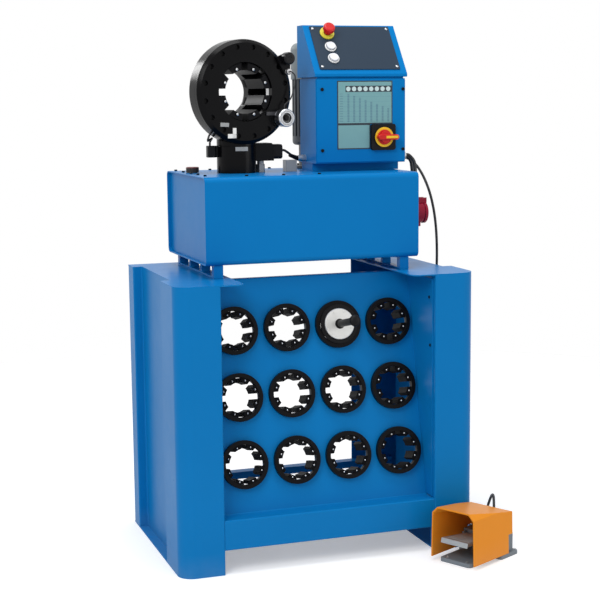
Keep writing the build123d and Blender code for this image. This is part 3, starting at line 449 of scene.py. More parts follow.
class Finishes(Enum):
    """Every finish on the machine, by its use."""

    CABINET = Enamel("cabinet_blue_enamel", (0.003, 0.172, 0.462))
    TANK = Enamel("tank_blue_enamel", (0.003, 0.172, 0.470), specular=0.05)
    BOX = Enamel("box_blue_enamel", (0.003, 0.172, 0.475), specular=0.03)
    DESK = Enamel("desk_slate_enamel", (0.030, 0.047, 0.072), roughness=0.42, peel=0.03)
    HEAD = Enamel("head_black_gloss", (0.002, 0.002, 0.0025), 0.20, peel=0.01, specular=0.10)
    FITTING = Enamel("fitting_black", (0.003, 0.0035, 0.0045), roughness=0.3, specular=0.11)
    GUARD = Enamel("guard_orange_enamel", (0.760, 0.265, 0.020), roughness=0.33)
    MOTOR = Enamel("motor_black", (0.012, 0.020, 0.028), roughness=0.38)
    COWL = Enamel("motor_cowl_grey", (0.235, 0.265, 0.275), roughness=0.42)
    PEDAL = Enamel("pedal_base_grey", (0.190, 0.220, 0.250), roughness=0.42)
    DIE = Steel("blackened_die_steel", (0.004, 0.004, 0.005), 0.55, metallic=0.1, specular=0.05)
    MASTER = Steel(
        "oiled_master_die_steel", (0.005, 0.005, 0.006), 0.42, metallic=0.2, specular=0.08
    )
    RING = Enamel("holder_ring_black", (0.003, 0.003, 0.004), roughness=0.34, specular=0.10)
    STOP = RingedSteel(
        "stop_bracket_steel",
        (0.46, 0.46, 0.47),
        roughness=0.34,
        metallic=0.8,
        specular=0.1,
        centre=(-20.7, 8.9, 1230.5),
        turn=9.0,
        ring_radius=7.3,
        arm=(0.004, 0.004, 0.005),
        arm_metallic=0.2,
    )
    BOLT = Steel("blackened_bolt", (0.006, 0.006, 0.007), 0.34, metallic=0.3, specular=0.15)
    SLEEVE = RingedSteel(
        "micrometer_steel", (0.42, 0.43, 0.45), 0.32, centre=(-34.6, 6.7, 1112.5), turn=9.0
    )
    PORT = Steel("port_block_steel", (0.26, 0.27, 0.28), roughness=0.40, metallic=0.7)
    BRIGHT = Steel("turned_steel", (0.62, 0.62, 0.63), roughness=0.30)
    ZINC = Steel("zinc_plated_screw", (0.56, 0.57, 0.58), roughness=0.32)
    ALUMINIUM = Steel("satin_aluminium", (0.68, 0.68, 0.66), roughness=0.42, metallic=0.75)
    LEVER = Steel("lever_aluminium", (0.42, 0.44, 0.44), roughness=0.45, metallic=0.6)
    PLATE = Steel("bare_name_plate", (0.30, 0.31, 0.31), roughness=0.45, metallic=0.3)
    BLACK = Moulding("black_moulding", (0.005, 0.005, 0.006), specular=0.14)
    BLACK_GLOSS = Moulding("black_gloss_moulding", (0.004, 0.004, 0.005), 0.2, specular=0.2)
    RED = Moulding("red_moulding", (0.560, 0.010, 0.010), roughness=0.3)
    INLET = Moulding("inlet_crimson_moulding", (0.300, 0.006, 0.030), roughness=0.34, specular=0.2)
    YELLOW = Moulding("yellow_moulding", (0.820, 0.500, 0.020), roughness=0.35)
    LIME = Moulding("collar_yellow_moulding", (0.700, 0.640, 0.060), roughness=0.35)
    WHITE = Moulding("white_button_moulding", (0.74, 0.76, 0.82), roughness=0.3)
    BEZEL = Moulding("pale_bezel_moulding", (0.78, 0.79, 0.80), roughness=0.3)
    CHART_PLATE = SettingChart(
        "setting_chart", (0.150, 0.330, 0.350), left=107.0, right=262.0, low=1094.0, high=1206.0
    )
    LOWER_PLATE = BarePlate(
        "lower_bare_plate", (0.150, 0.330, 0.350), left=107.0, right=199.5, low=1029.0, high=1094.0
    )
    CABLE = Sheath("cable_black_sheath", (0.006, 0.006, 0.007))
    CAP = TwoTone("filler_cap_moulding", (0.012, 0.010, 0.010), (0.130, 0.012, 0.014), 984.5)

    def coat(self, piece: Piece) -> None:
        """Makes this finish the piece's only material."""
        piece.data.materials.clear()
        piece.data.materials.append(self.value.material())


# ------------------------------------------------------------------- workbench


@dataclass(frozen=True)
class Place:
    """A plane on the machine: a point, its right-hand direction and its outward normal."""

    origin: Vector
    x_dir: Vector
    z_dir: Vector

    def point(self, across: float, up: float, out: float = 0.0) -> Vector:
        """Returns the point at those distances in millimetres along the plane's axes."""
        y_dir = self.z_dir.cross(self.x_dir)
        return self.origin + (self.x_dir * across + y_dir * up + self.z_dir * out) * MM

    def at(self, across: float, up: float, out: float = 0.0, turn: float = 0.0) -> Matrix:
        """Returns the placement of a piece whose own +Z stands on the plane.

        Args:
            across: Distance along the right-hand direction, in millimetres.
            up: Distance up the plane.
            out: Distance off the plane.
            turn: Angle about the normal, in degrees.
        """
        y_dir = self.z_dir.cross(self.x_dir)
        turned = Matrix((self.x_dir, y_dir, self.z_dir)).transposed().to_4x4()
        spin = Matrix.Rotation(radians(turn), 4, "Z")
        return Matrix.Translation(self.point(across, up, out)) @ turned @ spin

    def ring(
        self,
        radii: Sequence[float],
        count: int,
        start: float = 0.0,
        out: float = 0.0,
        centre: Spot = (0.0, 0.0),
        turn: float = 0.0,
        follow: float = 0.0,
    ) -> list[Matrix]:
        """Returns placements evenly round a circle on the plane.

        Args:
            radii: The circle's radius, or several that are taken in turn.
            count: How many placements there are.
            start: The first one's angle in degrees.
            out: Distance off the plane.
            centre: The circle's centre on the plane.
            turn: Angle of a piece about its own normal, in degrees.
            follow: How far a piece turns with its place on the circle, from 0 to 1.
        """
        places = []
        for number in range(count):
            angle = start + 360.0 / count * number
            radius = radii[number % len(radii)]
            across = centre[0] + radius * cos(radians(angle))
            up = centre[1] + radius * sin(radians(angle))
            places.append(self.at(across, up, out, turn + follow * angle))
        return places


def plane(origin_mm: Sequence[float], x_dir: Sequence[float], z_dir: Sequence[float]) -> Place:
    """Returns a plane from its origin in millimetres and two directions."""
    return Place(Vector(origin_mm) * MM, Vector(x_dir).normalized(), Vector(z_dir).normalized())


class Bench:
    """Modelling moves shared by every sub-assembly."""

    @staticmethod
    def clear() -> None:
        """Deselects every object."""
        bpy.ops.object.select_all(action="DESELECT")

    @staticmethod
    def pick(piece: Piece) -> None:
        """Makes one piece the only selected and active one."""
        Bench.clear()
        piece.select_set(True)
        bpy.context.view_layer.objects.active = piece

    @staticmethod
    def link(name: str, data: bpy.types.ID) -> Piece:
        """Puts a new object round a mesh, curve, lamp or camera into the scene."""
        piece = bpy.data.objects.new(name, data)
        bpy.context.scene.collection.objects.link(piece)
        return piece

    @staticmethod
    @contextmanager
    def editing(piece: Piece, mode: str = "FACE") -> Iterator[None]:
        """Opens a piece in edit mode with nothing selected."""
        Bench.pick(piece)
        bpy.ops.object.mode_set(mode="EDIT")
        bpy.ops.mesh.select_mode(type=mode)
        bpy.ops.mesh.select_all(action="DESELECT")
        yield
        bpy.ops.object.mode_set(mode="OBJECT")

    @staticmethod
    def choose(piece: Piece, test: Callable[[bmesh.types.BMFace], bool]) -> None:
        """Selects, in edit mode, the faces that pass a test and no others."""
        bpy.ops.mesh.select_all(action="DESELECT")
        mesh = bmesh.from_edit_mesh(piece.data)
        for face in mesh.faces:
            if test(face):
                face.select_set(True)
        bmesh.update_edit_mesh(piece.data)

    @staticmethod
    def top(face: bmesh.types.BMFace) -> bool:
        """Tells whether a face looks up."""
        return face.normal.z > 0.9

    @staticmethod
    def round(name: str, radius: float, height: float, sides: int = 24) -> Piece:
        """Adds a round blank standing on the origin, in millimetres."""
        Bench.clear()
        bpy.ops.mesh.primitive_cylinder_add(
            vertices=sides, radius=radius * MM, depth=height * MM, location=(0, 0, height * MM / 2)
        )
        return Bench.settle(bpy.context.object, name)

    @staticmethod
    def slab(name: str, size: Sequence[float], width: float | None = None) -> Piece:
        """Adds a flat blank standing on the origin, in millimetres, and may soften it."""
        Bench.clear()
        bpy.ops.mesh.primitive_cube_add(size=1.0, location=(0, 0, size[2] * MM / 2))
        bpy.context.object.scale = [value * MM for value in size]
        blank = Bench.settle(bpy.context.object, name)
        if width is not None:
            Bench.soften(blank, width)
        return blank

    @staticmethod
    def terrace(piece: Piece, *steps: Spot) -> None:
        """Insets a blank's top and lifts it, once for each pair of millimetres."""
        with Bench.editing(piece):
            Bench.choose(piece, Bench.top)
            for inset, lift in steps:
                bpy.ops.mesh.inset(thickness=inset * MM)
                bpy.ops.transform.translate(value=(0, 0, lift * MM))

    @staticmethod
    def turned(
        name: str, radius: float, height: float, sides: int, width: float, *steps: Spot
    ) -> Piece:
        """Turns a stepped disc.

        Args:
            name: The piece's name.
            radius: Its outer radius in millimetres.
            height: The blank's height.
            sides: How many flats make its rim.
            width: How far its edges are rounded.
            steps: The inset and the lift of each step in its top.

        Returns:
            The disc, standing on the origin.
        """
        disc = Bench.round(name, radius, height, sides)
        Bench.terrace(disc, *steps)
        Bench.soften(disc, width)
        return disc

    @staticmethod
    def grow(height: float) -> None:
        """Extrudes, in edit mode, the selected faces upwards by a height in millimetres."""
        bpy.ops.mesh.extrude_region_move(TRANSFORM_OT_translate={"value": (0, 0, height * MM)})

    @staticmethod
    def settle(piece: Piece, name: str) -> Piece:
        """Puts a piece's place into its mesh and names it."""
        Bench.pick(piece)
        bpy.ops.object.transform_apply(location=True, rotation=True, scale=True)
        piece.name = name
        piece.data.name = name
        return piece

    @staticmethod
    def soften(piece: Piece, width: float, segments: int = 2, angle: float = 32.0) -> None:
        """Rounds a piece's sharp edges by a width in millimetres and smooths its shading."""
        if width > 0:
            bevel = piece.modifiers.new("edges", "BEVEL")
            bevel.width = width * MM
            bevel.segments = segments
            bevel.limit_method = "ANGLE"
            bevel.angle_limit = radians(angle)
            bevel.use_clamp_overlap = True
            Bench.pick(piece)
            bpy.ops.object.modifier_apply(modifier=bevel.name)
        Bench.pick(piece)
        bpy.ops.object.shade_smooth_by_angle(angle=radians(angle + 3))
        if width > 0:
            flat = piece.modifiers.new("flat_faces", "WEIGHTED_NORMAL")
            flat.keep_sharp = True
            bpy.ops.object.modifier_apply(modifier=flat.name)

    @staticmethod
    def fold(piece: Piece, test: Callable[[Vector, Vector], bool], width: float) -> None:
        """Rounds, in edit mode, the sharp edges that pass a test.

        Args:
            piece: The piece, open in edit mode.
            test: Tells from an edge's two ends, in millimetres, whether it is one of them.
            width: The fold's outer radius in millimetres.
        """
        bpy.ops.mesh.select_mode(type="EDGE")
        bpy.ops.mesh.select_all(action="DESELECT")
        mesh = bmesh.from_edit_mesh(piece.data)
        for edge in mesh.edges:
            sharp = len(edge.link_faces) == 2 and edge.calc_face_angle() > radians(30)
            if sharp and test(*(corner.co / MM for corner in edge.verts)):
                edge.select_set(True)
        bmesh.update_edit_mesh(piece.data)
        bpy.ops.mesh.bevel(offset=width * MM, segments=4, affect="EDGES", clamp_overlap=True)

    @staticmethod
    def spread(piece: Piece, places: Sequence[Matrix]) -> Piece:
        """Copies a piece to several places, each with its own mesh, and joins them.

        Args:
            piece: The one that was modelled, standing on the origin.
            places: Where each copy goes.

        Returns:
            The joined piece, under the first one's name.
        """
        name = piece.name
        copies = []
        for place in places:
            copy = Bench.link(name, piece.data.copy())
            copy.matrix_world = place
            copies.append(copy)
        bpy.data.objects.remove(piece)
        return Bench.join(name, copies)

    @staticmethod
    def join(name: str, pieces: Sequence[Piece]) -> Piece:
        """Joins pieces into one."""
        Bench.clear()
        for piece in pieces:
            piece.select_set(True)
        bpy.context.view_layer.objects.active = pieces[0]
        if len(pieces) > 1:
            bpy.ops.object.join()
        return Bench.settle(pieces[0], name)

    @staticmethod
    def socket_screw(name: str, radius: float, height: float, socket: float = 0.5) -> Piece:
        """Models a cap screw's head with a six-sided socket.

        Args:
            name: The piece's name.
            radius: The head's radius in millimetres.
            height: The head's height.
            socket: The socket's radius as a share of the head's.
        """
        screw = Bench.round(name, radius, height, sides=12)
        with Bench.editing(screw):
            Bench.choose(screw, Bench.top)
            bpy.ops.mesh.inset(thickness=radius * (1 - socket) * MM)
            ring = bmesh.from_edit_mesh(screw.data)
            inner = next(face for face in ring.faces if face.select)
            for number, corner in enumerate(inner.verts):
                if number % 2:
                    corner.co.x *= HEXAGON
                    corner.co.y *= HEXAGON
            bmesh.update_edit_mesh(screw.data)
            Bench.grow(-height * 0.55)
        Bench.soften(screw, min(0.6, radius * 0.12), angle=50.0)
        return screw

    @staticmethod
    def dome_screw(name: str, radius: float, height: float) -> Piece:
        """Models a low domed screw head with a dimple."""
        screw = Bench.round(name, radius, height * 0.45, sides=16)
        rise = height * 0.28
        crown = ((radius * 0.25, rise), (radius * 0.35, rise), (radius * 0.12, -height * 0.4))
        Bench.terrace(screw, *crown)
        Bench.soften(screw, 0.0, angle=40.0)
        return screw


@dataclass
class Assembly:
    """A group of pieces that knows the frame it is dressed over."""

    frame: Mapping[str, object]

    def body_of(self, node: str) -> str:
        """Returns the name of the body that a node belongs to."""
        bodies = self.frame["record"]["behaviour"]["bodies"]
        return next(body for body, members in bodies.items() if node in members)

    def slot_of(self, node: str) -> str:
        """Returns the record's material slot for a node."""
        rows = self.frame["record"]["subparts"]
        return next(row["material_slot"] for row in rows if row["node"] == node)

    def paint(self, node: str, finish: Finishes) -> None:
        """Gives a node that stays its material."""
        finish.coat(self.frame["nodes"][node])

    def edge(
        self,
        finish: Finishes,
        width: float,
        *nodes: str,
        segments: int = 2,
        shaping: Callable[[Piece], None] | None = None,
    ) -> None:
        """Stands a copy with rounded edges in for each node.

        Args:
            finish: What the copies are painted with.
            width: The edges' width in millimetres.
            nodes: The nodes whose shapes are copied.
            segments: How many faces round each edge.
            shaping: What is done to a copy in edit mode before its edges are rounded.
        """
        for node in nodes:
            piece = Bench.link(f"{node}_edged", self.frame["nodes"][node].data.copy())
            with Bench.editing(piece, "VERT"):
                bpy.ops.mesh.select_all(action="SELECT")
                bpy.ops.mesh.remove_doubles(threshold=2e-6)
                bpy.ops.mesh.dissolve_limited(angle_limit=radians(0.6))
                if shaping is not None:
                    shaping(piece)
            Bench.soften(piece, width, segments)
            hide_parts(node)
            self.keep(piece, finish, self.slot_of(node), self.body_of(node))

    def keep(
        self, piece: Piece, finish: Finishes, slot: str, body: str = "machine"
    ) -> None:
        """Dresses a piece and makes it ride on a body.

        Args:
            piece: The finished piece.
            finish: Its finish.
            slot: The record's material slot that it is closest to; not used.
            body: The body that it moves with.
        """
        finish.coat(piece)
        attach(piece, body)
        LOG.info("%s: %s rides on %s", type(self).__name__, piece.name, body)

    def lay(
        self,
        piece: Piece,
        places: Sequence[Matrix],
        finish: Finishes,
        slot: str,
        body: str = "machine",
    ) -> None:
        """Copies a modelled piece to its places and keeps the result."""
        self.keep(Bench.spread(piece, places), finish, slot, body)

    def boot(self, name: str, start: Point, towards: Point, length: float, radius: float) -> None:
        """Models a ribbed, tapered strain relief along a cable's first stretch.

        Args:
            name: The piece's name.
            start: Where the cable leaves its gland, in millimetres.
            towards: The route's next point.
            length: How long the boot is.
            radius: The boot's radius where it starts.
        """
        boot = Bench.round(name, radius, 1.0, sides=24)
        with Bench.editing(boot):
            Bench.choose(boot, Bench.top)
            rib = length / 10
            for _ in range(5):
                Bench.grow(rib)
                Bench.grow(0.01)
                bpy.ops.transform.resize(value=(0.86, 0.86, 1.0))
                Bench.grow(rib * 0.8)
                bpy.ops.transform.resize(value=(1.10, 1.10, 1.0))
        Bench.soften(boot, 0.3)
        axis = (Vector(towards) - Vector(start)).normalized()
        side = axis.orthogonal().normalized()
        place = plane(start, side, axis).at(0, 0, -0.5)
        self.lay(boot, [place], Finishes.BLACK, "black_plastic")

    def build(self) -> None:
        """Makes every piece."""
        raise NotImplementedError


# -------------------------------------------------------------- sub-assemblies


@dataclass
class Cabinet(Assembly):
    """The folded stand: two sides, the rear crossbar and the sloping die rack."""

    cheek_x: float = 277.7
    cheek_spots: tuple[Spot, ...] = ((-229.0, 658.0), (-236.0, 535.0))

    def build(self) -> None:
        """Rounds the folds' edges and adds the screws inside the posts."""
        panels = ("side_panel_left", "side_panel_right", "rack_panel", "rear_crossbar")
        self.edge(Finishes.CABINET, 0.9, *panels)
        for sign, name in ((1, "cheek_screws_right"), (-1, "cheek_screws_left")):
            cheek = plane((sign * self.cheek_x, 0, 0), (0, -sign, 0), (-sign, 0, 0))
            places = [cheek.at(-sign * y, z) for y, z in self.cheek_spots]
            self.lay(Bench.dome_screw(name, 4.2, 2.6), places, Finishes.BOLT, "bolt_black")


@dataclass
class DieRack(Assembly):
    """Twelve holder rings, the die sets stored in them and the change tool."""

    lean: float = 12.5
    columns: tuple[float, ...] = (-208.5, -69.5, 69.5, 208.5)
    rows: tuple[float, ...] = (121.0, 289.0, 457.0)
    pin_circles: tuple[float, ...] = (45.5, 44.5, 43.5)
    pin_out: float = 13.0
    screw_circle: float = 55.5
    screw_out: float = 13.6
    tool: Point = (69.5, 457.0, 13.3)
    carrier_out: float = 15.0
    hole_circle: float = 33.0
    hole_out: float = 22.6
    grip_swell: float = 1.24

    @property
    def rack(self) -> Place:
        """Returns the sloping face of the rack."""
        lean = radians(self.lean)
        return plane((0, -212, 137), (1, 0, 0), (0, -cos(lean), sin(lean)))

    def build(self) -> None:
        """Dresses the rings and dies, and adds their pins and screws."""
        self.edge(Finishes.RING, 0.9, "die_rings")
        sets = [f"die_sets_{row}" for row in ("upper", "middle", "lower")]
        self.edge(Finishes.DIE, 0.5, *sets, segments=1)
        self.edge(Finishes.ALUMINIUM, 0.6, "tool_disc")
        self.edge(Finishes.BLACK, 0.8, "tool_handle", shaping=self.swell_grip)
        self.change_tool()
        pins, screws = [], []
        for circle, row in zip(self.pin_circles, self.rows):
            for column in self.columns:
                middle = (column, row)
                pins += self.rack.ring((circle,), 8, FIRST_DIE, self.pin_out, middle)
                screws += self.rack.ring((self.screw_circle,), 3, 45.0, self.screw_out, middle)
        pin = Bench.dome_screw("stored_die_pins", 1.9, 1.6)
        self.lay(pin, pins, Finishes.ZINC, "bright_steel")
        screw = Bench.socket_screw("ring_screws", 3.0, 1.6)
        self.lay(screw, screws, Finishes.BOLT, "bolt_black")

    def swell_grip(self, grip: Piece) -> None:
        """Makes the change tool's grip fuller, about its own axis."""
        axis = self.rack.z_dir
        root = self.rack.point(*self.tool)
        mesh = bmesh.from_edit_mesh(grip.data)
        for corner in mesh.verts:
            out = (corner.co - root).dot(axis)
            spoke = corner.co - root - axis * out
            corner.co = root + axis * out + spoke * self.grip_swell
        bmesh.update_edit_mesh(grip.data)

    def change_tool(self) -> None:
        """Adds the tool's black carrier behind its disc, and black discs in its face whose colour
        is painted shade standing in for its holes.
        """
        middle = self.tool[:2]
        carrier = Bench.turned("tool_carrier", 50.4, 2.0, 64, 0.3, (9.4, 0.4))
        # Painted shade: black discs sunk into the tool's face stand in for the darkness inside its
        # holes.
        hole_shade_disc = Bench.turned("tool_hole_shade_discs", 2.35, 0.5, 16, 0.0, (0.5, -0.3))
        hole_shade_places = self.rack.ring((self.hole_circle,), 8, FIRST_DIE, self.hole_out, middle)
        for piece, places in (
            (carrier, [self.rack.at(*middle, self.carrier_out)]),
            (hole_shade_disc, hole_shade_places),
        ):
            self.lay(piece, places, Finishes.BLACK, "black_plastic", "change_tool")


@dataclass
class Tank(Assembly):
    """The oil tank on its rails, with its filler and mains inlet."""

    top: float = 972.0
    left_screws: tuple[float, ...] = (224.0, 142.0, 62.0, -8.0, -76.0)
    front_screws: tuple[float, ...] = (-170.0, -73.0, 22.0)
    rear_screws: tuple[Spot, ...] = ((-170.0, 224.0), (0.0, 226.0))

    def build(self) -> None:
        """Dresses the tank and adds the screws in its top."""
        self.edge(Finishes.TANK, 0.9, "tank_shell", "tank_ends", "tank_feet")
        self.edge(Finishes.CAP, 0.8, "filler_cap")
        self.edge(Finishes.INLET, 0.8, "mains_inlet", "mains_inlet_lid")
        top = plane((0, 0, self.top), (1, 0, 0), (0, 0, 1))
        screw = Bench.socket_screw("tank_top_screws", 4.2, 3.4)
        spots = [(-265.0, y) for y in self.left_screws]
        spots += [(x, -120.0) for x in self.front_screws]
        places = [top.at(x, y) for x, y in (*spots, *self.rear_screws)]
        self.lay(screw, places, Finishes.BOLT, "bolt_black")


@dataclass
class CrimpingHead(Assembly):
    """The round head with its eight closing dies, on its foot with the valve beside it."""

    turn: float = 9.0
    foot: Spot = (-145.0, 52.0)
    foot_radius: float = 51.0
    foot_back: float = 62.0
    bore_height: float = 1179.5
    bolt_circle: float = 114.0
    bolts: int = 16
    bolt_sink: float = 7.0
    socket_turn: float = 11.0  # degrees from one screw's socket to the next
    pin_circle: float = 61.0
    pin_front: float = -2.0
    dial: Spot = (102.0, -67.0)
    rim_marks: tuple[float, ...] = (16.4, 17.2, 17.2, 17.2, 17.2)  # every fifth stands further in
    dial_marks: tuple[float, ...] = (10.2,)
    plate_height: float = 1029.5
    plate_half: float = 17.0  # degrees to either side
    box_gland: Point = (28.0, 66.0, 1005.0)
    lead_towards: Point = (14.0, 60.5, 1010.0)

    @property
    def face(self) -> Place:
        """Returns the head's front face, with its origin on the bore."""
        side, ahead = cos(radians(self.turn)), sin(radians(self.turn))
        x, y = self.foot
        origin = (x + self.foot_back * ahead, y - self.foot_back * side, self.bore_height)
        return plane(origin, (side, ahead, 0), (ahead, -side, 0))

    def build(self) -> None:
        """Dresses the head and adds what is bolted to it."""
        self.edge(Finishes.HEAD, 1.2, "head_housing", "head_cover", "head_foot")
        self.edge(Finishes.FITTING, 1.0, "valve_block")
        self.edge(Finishes.BLACK, 1.5, "valve_coil", "terminal_box")
        self.edge(Finishes.PORT, 1.0, "valve_fittings")
        self.paint("closing_piston", Finishes.BRIGHT)
        self.edge(Finishes.MASTER, 0.7, *(f"master_die_{number}" for number in range(1, 9)))
        self.paint("head_leads", Finishes.CABLE)
        self.boot("coil_lead_boot", self.box_gland, self.lead_towards, 32.0, 6.2)
        self.cover_screws()
        self.die_pins()
        self.micrometer()
        self.edge(Finishes.STOP, 0.7, "stop_bracket")
        self.edge(Finishes.BLACK_GLOSS, 0.8, "stop_knob")
        self.name_plates()
        self.foot_plate()

    def cover_screws(self) -> None:
        """Models the cover's socket screws."""
        screw = Bench.socket_screw("cover_socket_screws", 6.0, self.bolt_sink - 1.0)
        follow = self.socket_turn * self.bolts / 360.0
        places = self.face.ring((self.bolt_circle,), self.bolts, out=-self.bolt_sink, follow=follow)
        piece = Bench.spread(screw, places)
        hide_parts("cover_bolts")
        self.keep(piece, Finishes.BOLT, "bolt_black")

    def die_pins(self) -> None:
        """Adds the bright locating pin on the front of each master die."""
        places = self.face.ring((self.pin_circle,), 8, FIRST_DIE, self.pin_front)
        for number, place in enumerate(places, start=1):
            pin = Bench.dome_screw(f"master_die_pin_{number}", 3.4, 2.2)
            self.lay(pin, [place], Finishes.ZINC, "bright_steel", f"master_die_{number}")

    def micrometer(self) -> None:
        """Dresses the micrometer and adds the marks on its rim and dial."""
        self.edge(Finishes.SLEEVE, 0.6, "micrometer_sleeve")
        self.edge(Finishes.BLACK, 0.8, "micrometer_dial")
        mark = Bench.slab("micrometer_marks", (0.7, 3.6, 0.25), 0.0)
        places = self.face.ring(self.rim_marks, 40, 0.0, 29.95, self.dial, -90.0, 1.0)
        self.lay(mark, places, Finishes.BLACK, "black_plastic")
        mark = Bench.slab("dial_marks", (0.6, 2.6, 0.3), 0.0)
        places = self.face.ring(self.dial_marks, 20, 0.0, 23.9, self.dial, -90.0, 1.0)
        self.lay(mark, places, Finishes.BEZEL, "aluminium", "micrometer_dial")

    def name_plates(self) -> None:
        """Adds the small plate and corner bracket on the cover, both of them bare."""
        plate = Bench.slab("cover_plate", (24.0, 10.0, 0.8), 0.25)
        place = self.face.at(-61.0, -82.0, 0.0, turn=-3.0)
        self.lay(plate, [place], Finishes.PLATE, "aluminium")
        arm = Bench.slab("bracket_arm", (24.0, 11.0, 2.0))
        post = Bench.slab("bracket_post", (10.0, 26.0, 2.0))
        arm.matrix_world = self.face.at(-41.0, -111.0)
        post.matrix_world = self.face.at(-34.0, -103.5)
        piece = Bench.join("corner_bracket", [arm, post])
        Bench.soften(piece, 0.4)
        self.keep(piece, Finishes.ALUMINIUM, "aluminium")

    def foot_plate(self) -> None:
        """Bends a bare plate round the foot's front."""
        plate = Bench.round("foot_plate", self.foot_radius + 0.1, 10.5, sides=96)

        def outside(face: bmesh.types.BMFace) -> bool:
            """Tells whether a face lies off the plate's stretch of the foot."""
            centre = face.calc_center_median()
            beside = abs(atan2(centre.x, -centre.y)) > radians(self.plate_half)
            return abs(face.normal.z) > 0.5 or beside

        with Bench.editing(plate):
            Bench.choose(plate, outside)
            bpy.ops.mesh.delete(type="FACE")
        wall = plate.modifiers.new("wall", "SOLIDIFY")
        wall.thickness = 0.8 * MM
        wall.offset = 1.0
        Bench.pick(plate)
        bpy.ops.object.modifier_apply(modifier=wall.name)
        Bench.soften(plate, 0.2)
        place = Matrix.Translation(Vector((*self.foot, self.plate_height)) * MM)
        self.lay(plate, [place], Finishes.PLATE, "aluminium")


@dataclass
class ControlBox(Assembly):
    """The electrical box with its sloping desk, switch and buttons."""

    centre: float = 175.0
    box_half: float = 125.0
    hood_half: float = 129.0
    hood_rim: float = 1216.0
    face_y: float = -24.0
    desk_foot: Spot = (-25.0, 1224.0)
    desk_head: Spot = (72.0, 1352.0)
    switch: Spot = (234.0, 1059.5)

    @property
    def front(self) -> Place:
        """Returns the front panel's face, measured from the machine's origin."""
        return plane((0, self.face_y, 0), (1, 0, 0), (0, -1, 0))

    @property
    def desk(self) -> Place:
        """Returns the sloping desk, with its origin at the middle of its lower edge."""
        run = self.desk_head[0] - self.desk_foot[0]
        rise = self.desk_head[1] - self.desk_foot[1]
        return plane((self.centre, *self.desk_foot), (1, 0, 0), (0, -rise, run))

    def build(self) -> None:
        """Dresses the box and adds plates, screws, button rings and the switch's face."""
        for node, width, test, radius in (
            ("control_box", 0.9, self.is_corner, 4.0),
            ("control_hood", 0.7, self.is_hood_fold, 4.5),
            ("box_front_panel", 0.9, self.is_panel_rim, 2.2),
        ):
            folding = partial(Bench.fold, test=test, width=radius)
            self.edge(Finishes.BOX, width, node, shaping=folding)
        self.edge(Finishes.DESK, 0.6, "desk_plate")
        self.edge(Finishes.ZINC, 0.6, "lead_glands")
        self.plates()
        self.screws()
        self.edge(Finishes.LIME, 1.2, "estop_collar")
        self.edge(Finishes.RED, 1.0, "estop_button")
        self.edge(Finishes.BEZEL, 1.0, "button_bezels")
        self.edge(Finishes.WHITE, 0.5, "push_button_1", "push_button_2")
        self.main_switch()

    def is_corner(self, first: Vector, second: Vector) -> bool:
        """Tells whether an edge is one of the box's upright outer corners."""
        out = min(abs(first.x - self.centre), abs(second.x - self.centre))
        return out > self.box_half - 0.2 and abs(first.z - second.z) > 50.0

    def is_hood_fold(self, first: Vector, second: Vector) -> bool:
        """Tells whether an edge is an outer fold of the hood and not part of its rim."""
        out = min(abs(first.x - self.centre), abs(second.x - self.centre))
        return out > self.hood_half - 0.2 and max(first.z, second.z) > self.hood_rim + 1.0

    def is_panel_rim(self, first: Vector, second: Vector) -> bool:
        """Tells whether an edge bounds the front panel's face."""
        return max(first.y, second.y) < self.face_y + 0.2

    def plates(self) -> None:
        """Adds the setting chart and the bare plate below it."""
        for name, finish in (
            ("setting_chart", Finishes.CHART_PLATE),
            ("lower_plate", Finishes.LOWER_PLATE),
        ):
            printed = finish.value
            size = (printed.right - printed.left, printed.high - printed.low, 0.8)
            middle = ((printed.left + printed.right) / 2, (printed.low + printed.high) / 2)
            self.lay(Bench.slab(name, size, 0.3), [self.front.at(*middle)], finish, "aluminium")

    def screws(self) -> None:
        """Adds the panel's dark screws and the desk's bright ones."""
        screw = Bench.socket_screw("panel_screws", 4.4, 3.0, socket=0.55)
        places = [self.front.at(x, z) for x in (65.5, 292.0) for z in (1027.0, 1184.0)]
        self.lay(screw, places, Finishes.BOLT, "bolt_black")
        screw = Bench.dome_screw("desk_screws", 3.6, 2.4)
        places = [self.desk.at(x, s, 3.0) for x in (-104.0, 104.0) for s in (21.5, 146.5)]
        self.lay(screw, places, Finishes.ZINC, "bright_steel")

    def main_switch(self) -> None:
        """Dresses the main switch and lays its yellow face, red hub and stripe on it."""
        self.edge(Finishes.BLACK, 1.2, "switch_base")
        self.edge(Finishes.RED, 1.0, "switch_handle")
        x, z = self.switch
        face = Bench.turned("switch_face", 26.0, 0.9, 64, 0.3, (2.0, -0.1))
        self.lay(face, [self.front.at(x, z, 12.35)], Finishes.YELLOW, "yellow_plastic")
        hub = Bench.turned("switch_hub", 19.5, 2.6, 64, 0.5, (3.4, 0.6))
        place = self.front.at(x, z, 13.4)
        self.lay(hub, [place], Finishes.RED, "red_plastic", "switch_handle")
        stripe = Bench.slab("switch_stripe", (34.0, 7.0, 0.9))
        with Bench.editing(stripe):
            Bench.choose(stripe, Bench.top)
            bpy.ops.transform.resize(value=(0.96, 0.8, 1.0))
        Bench.soften(stripe, 0.3)
        place = self.front.at(x + 16.0, z, 29.0)
        self.lay(stripe, [place], Finishes.YELLOW, "yellow_plastic", "switch_handle")


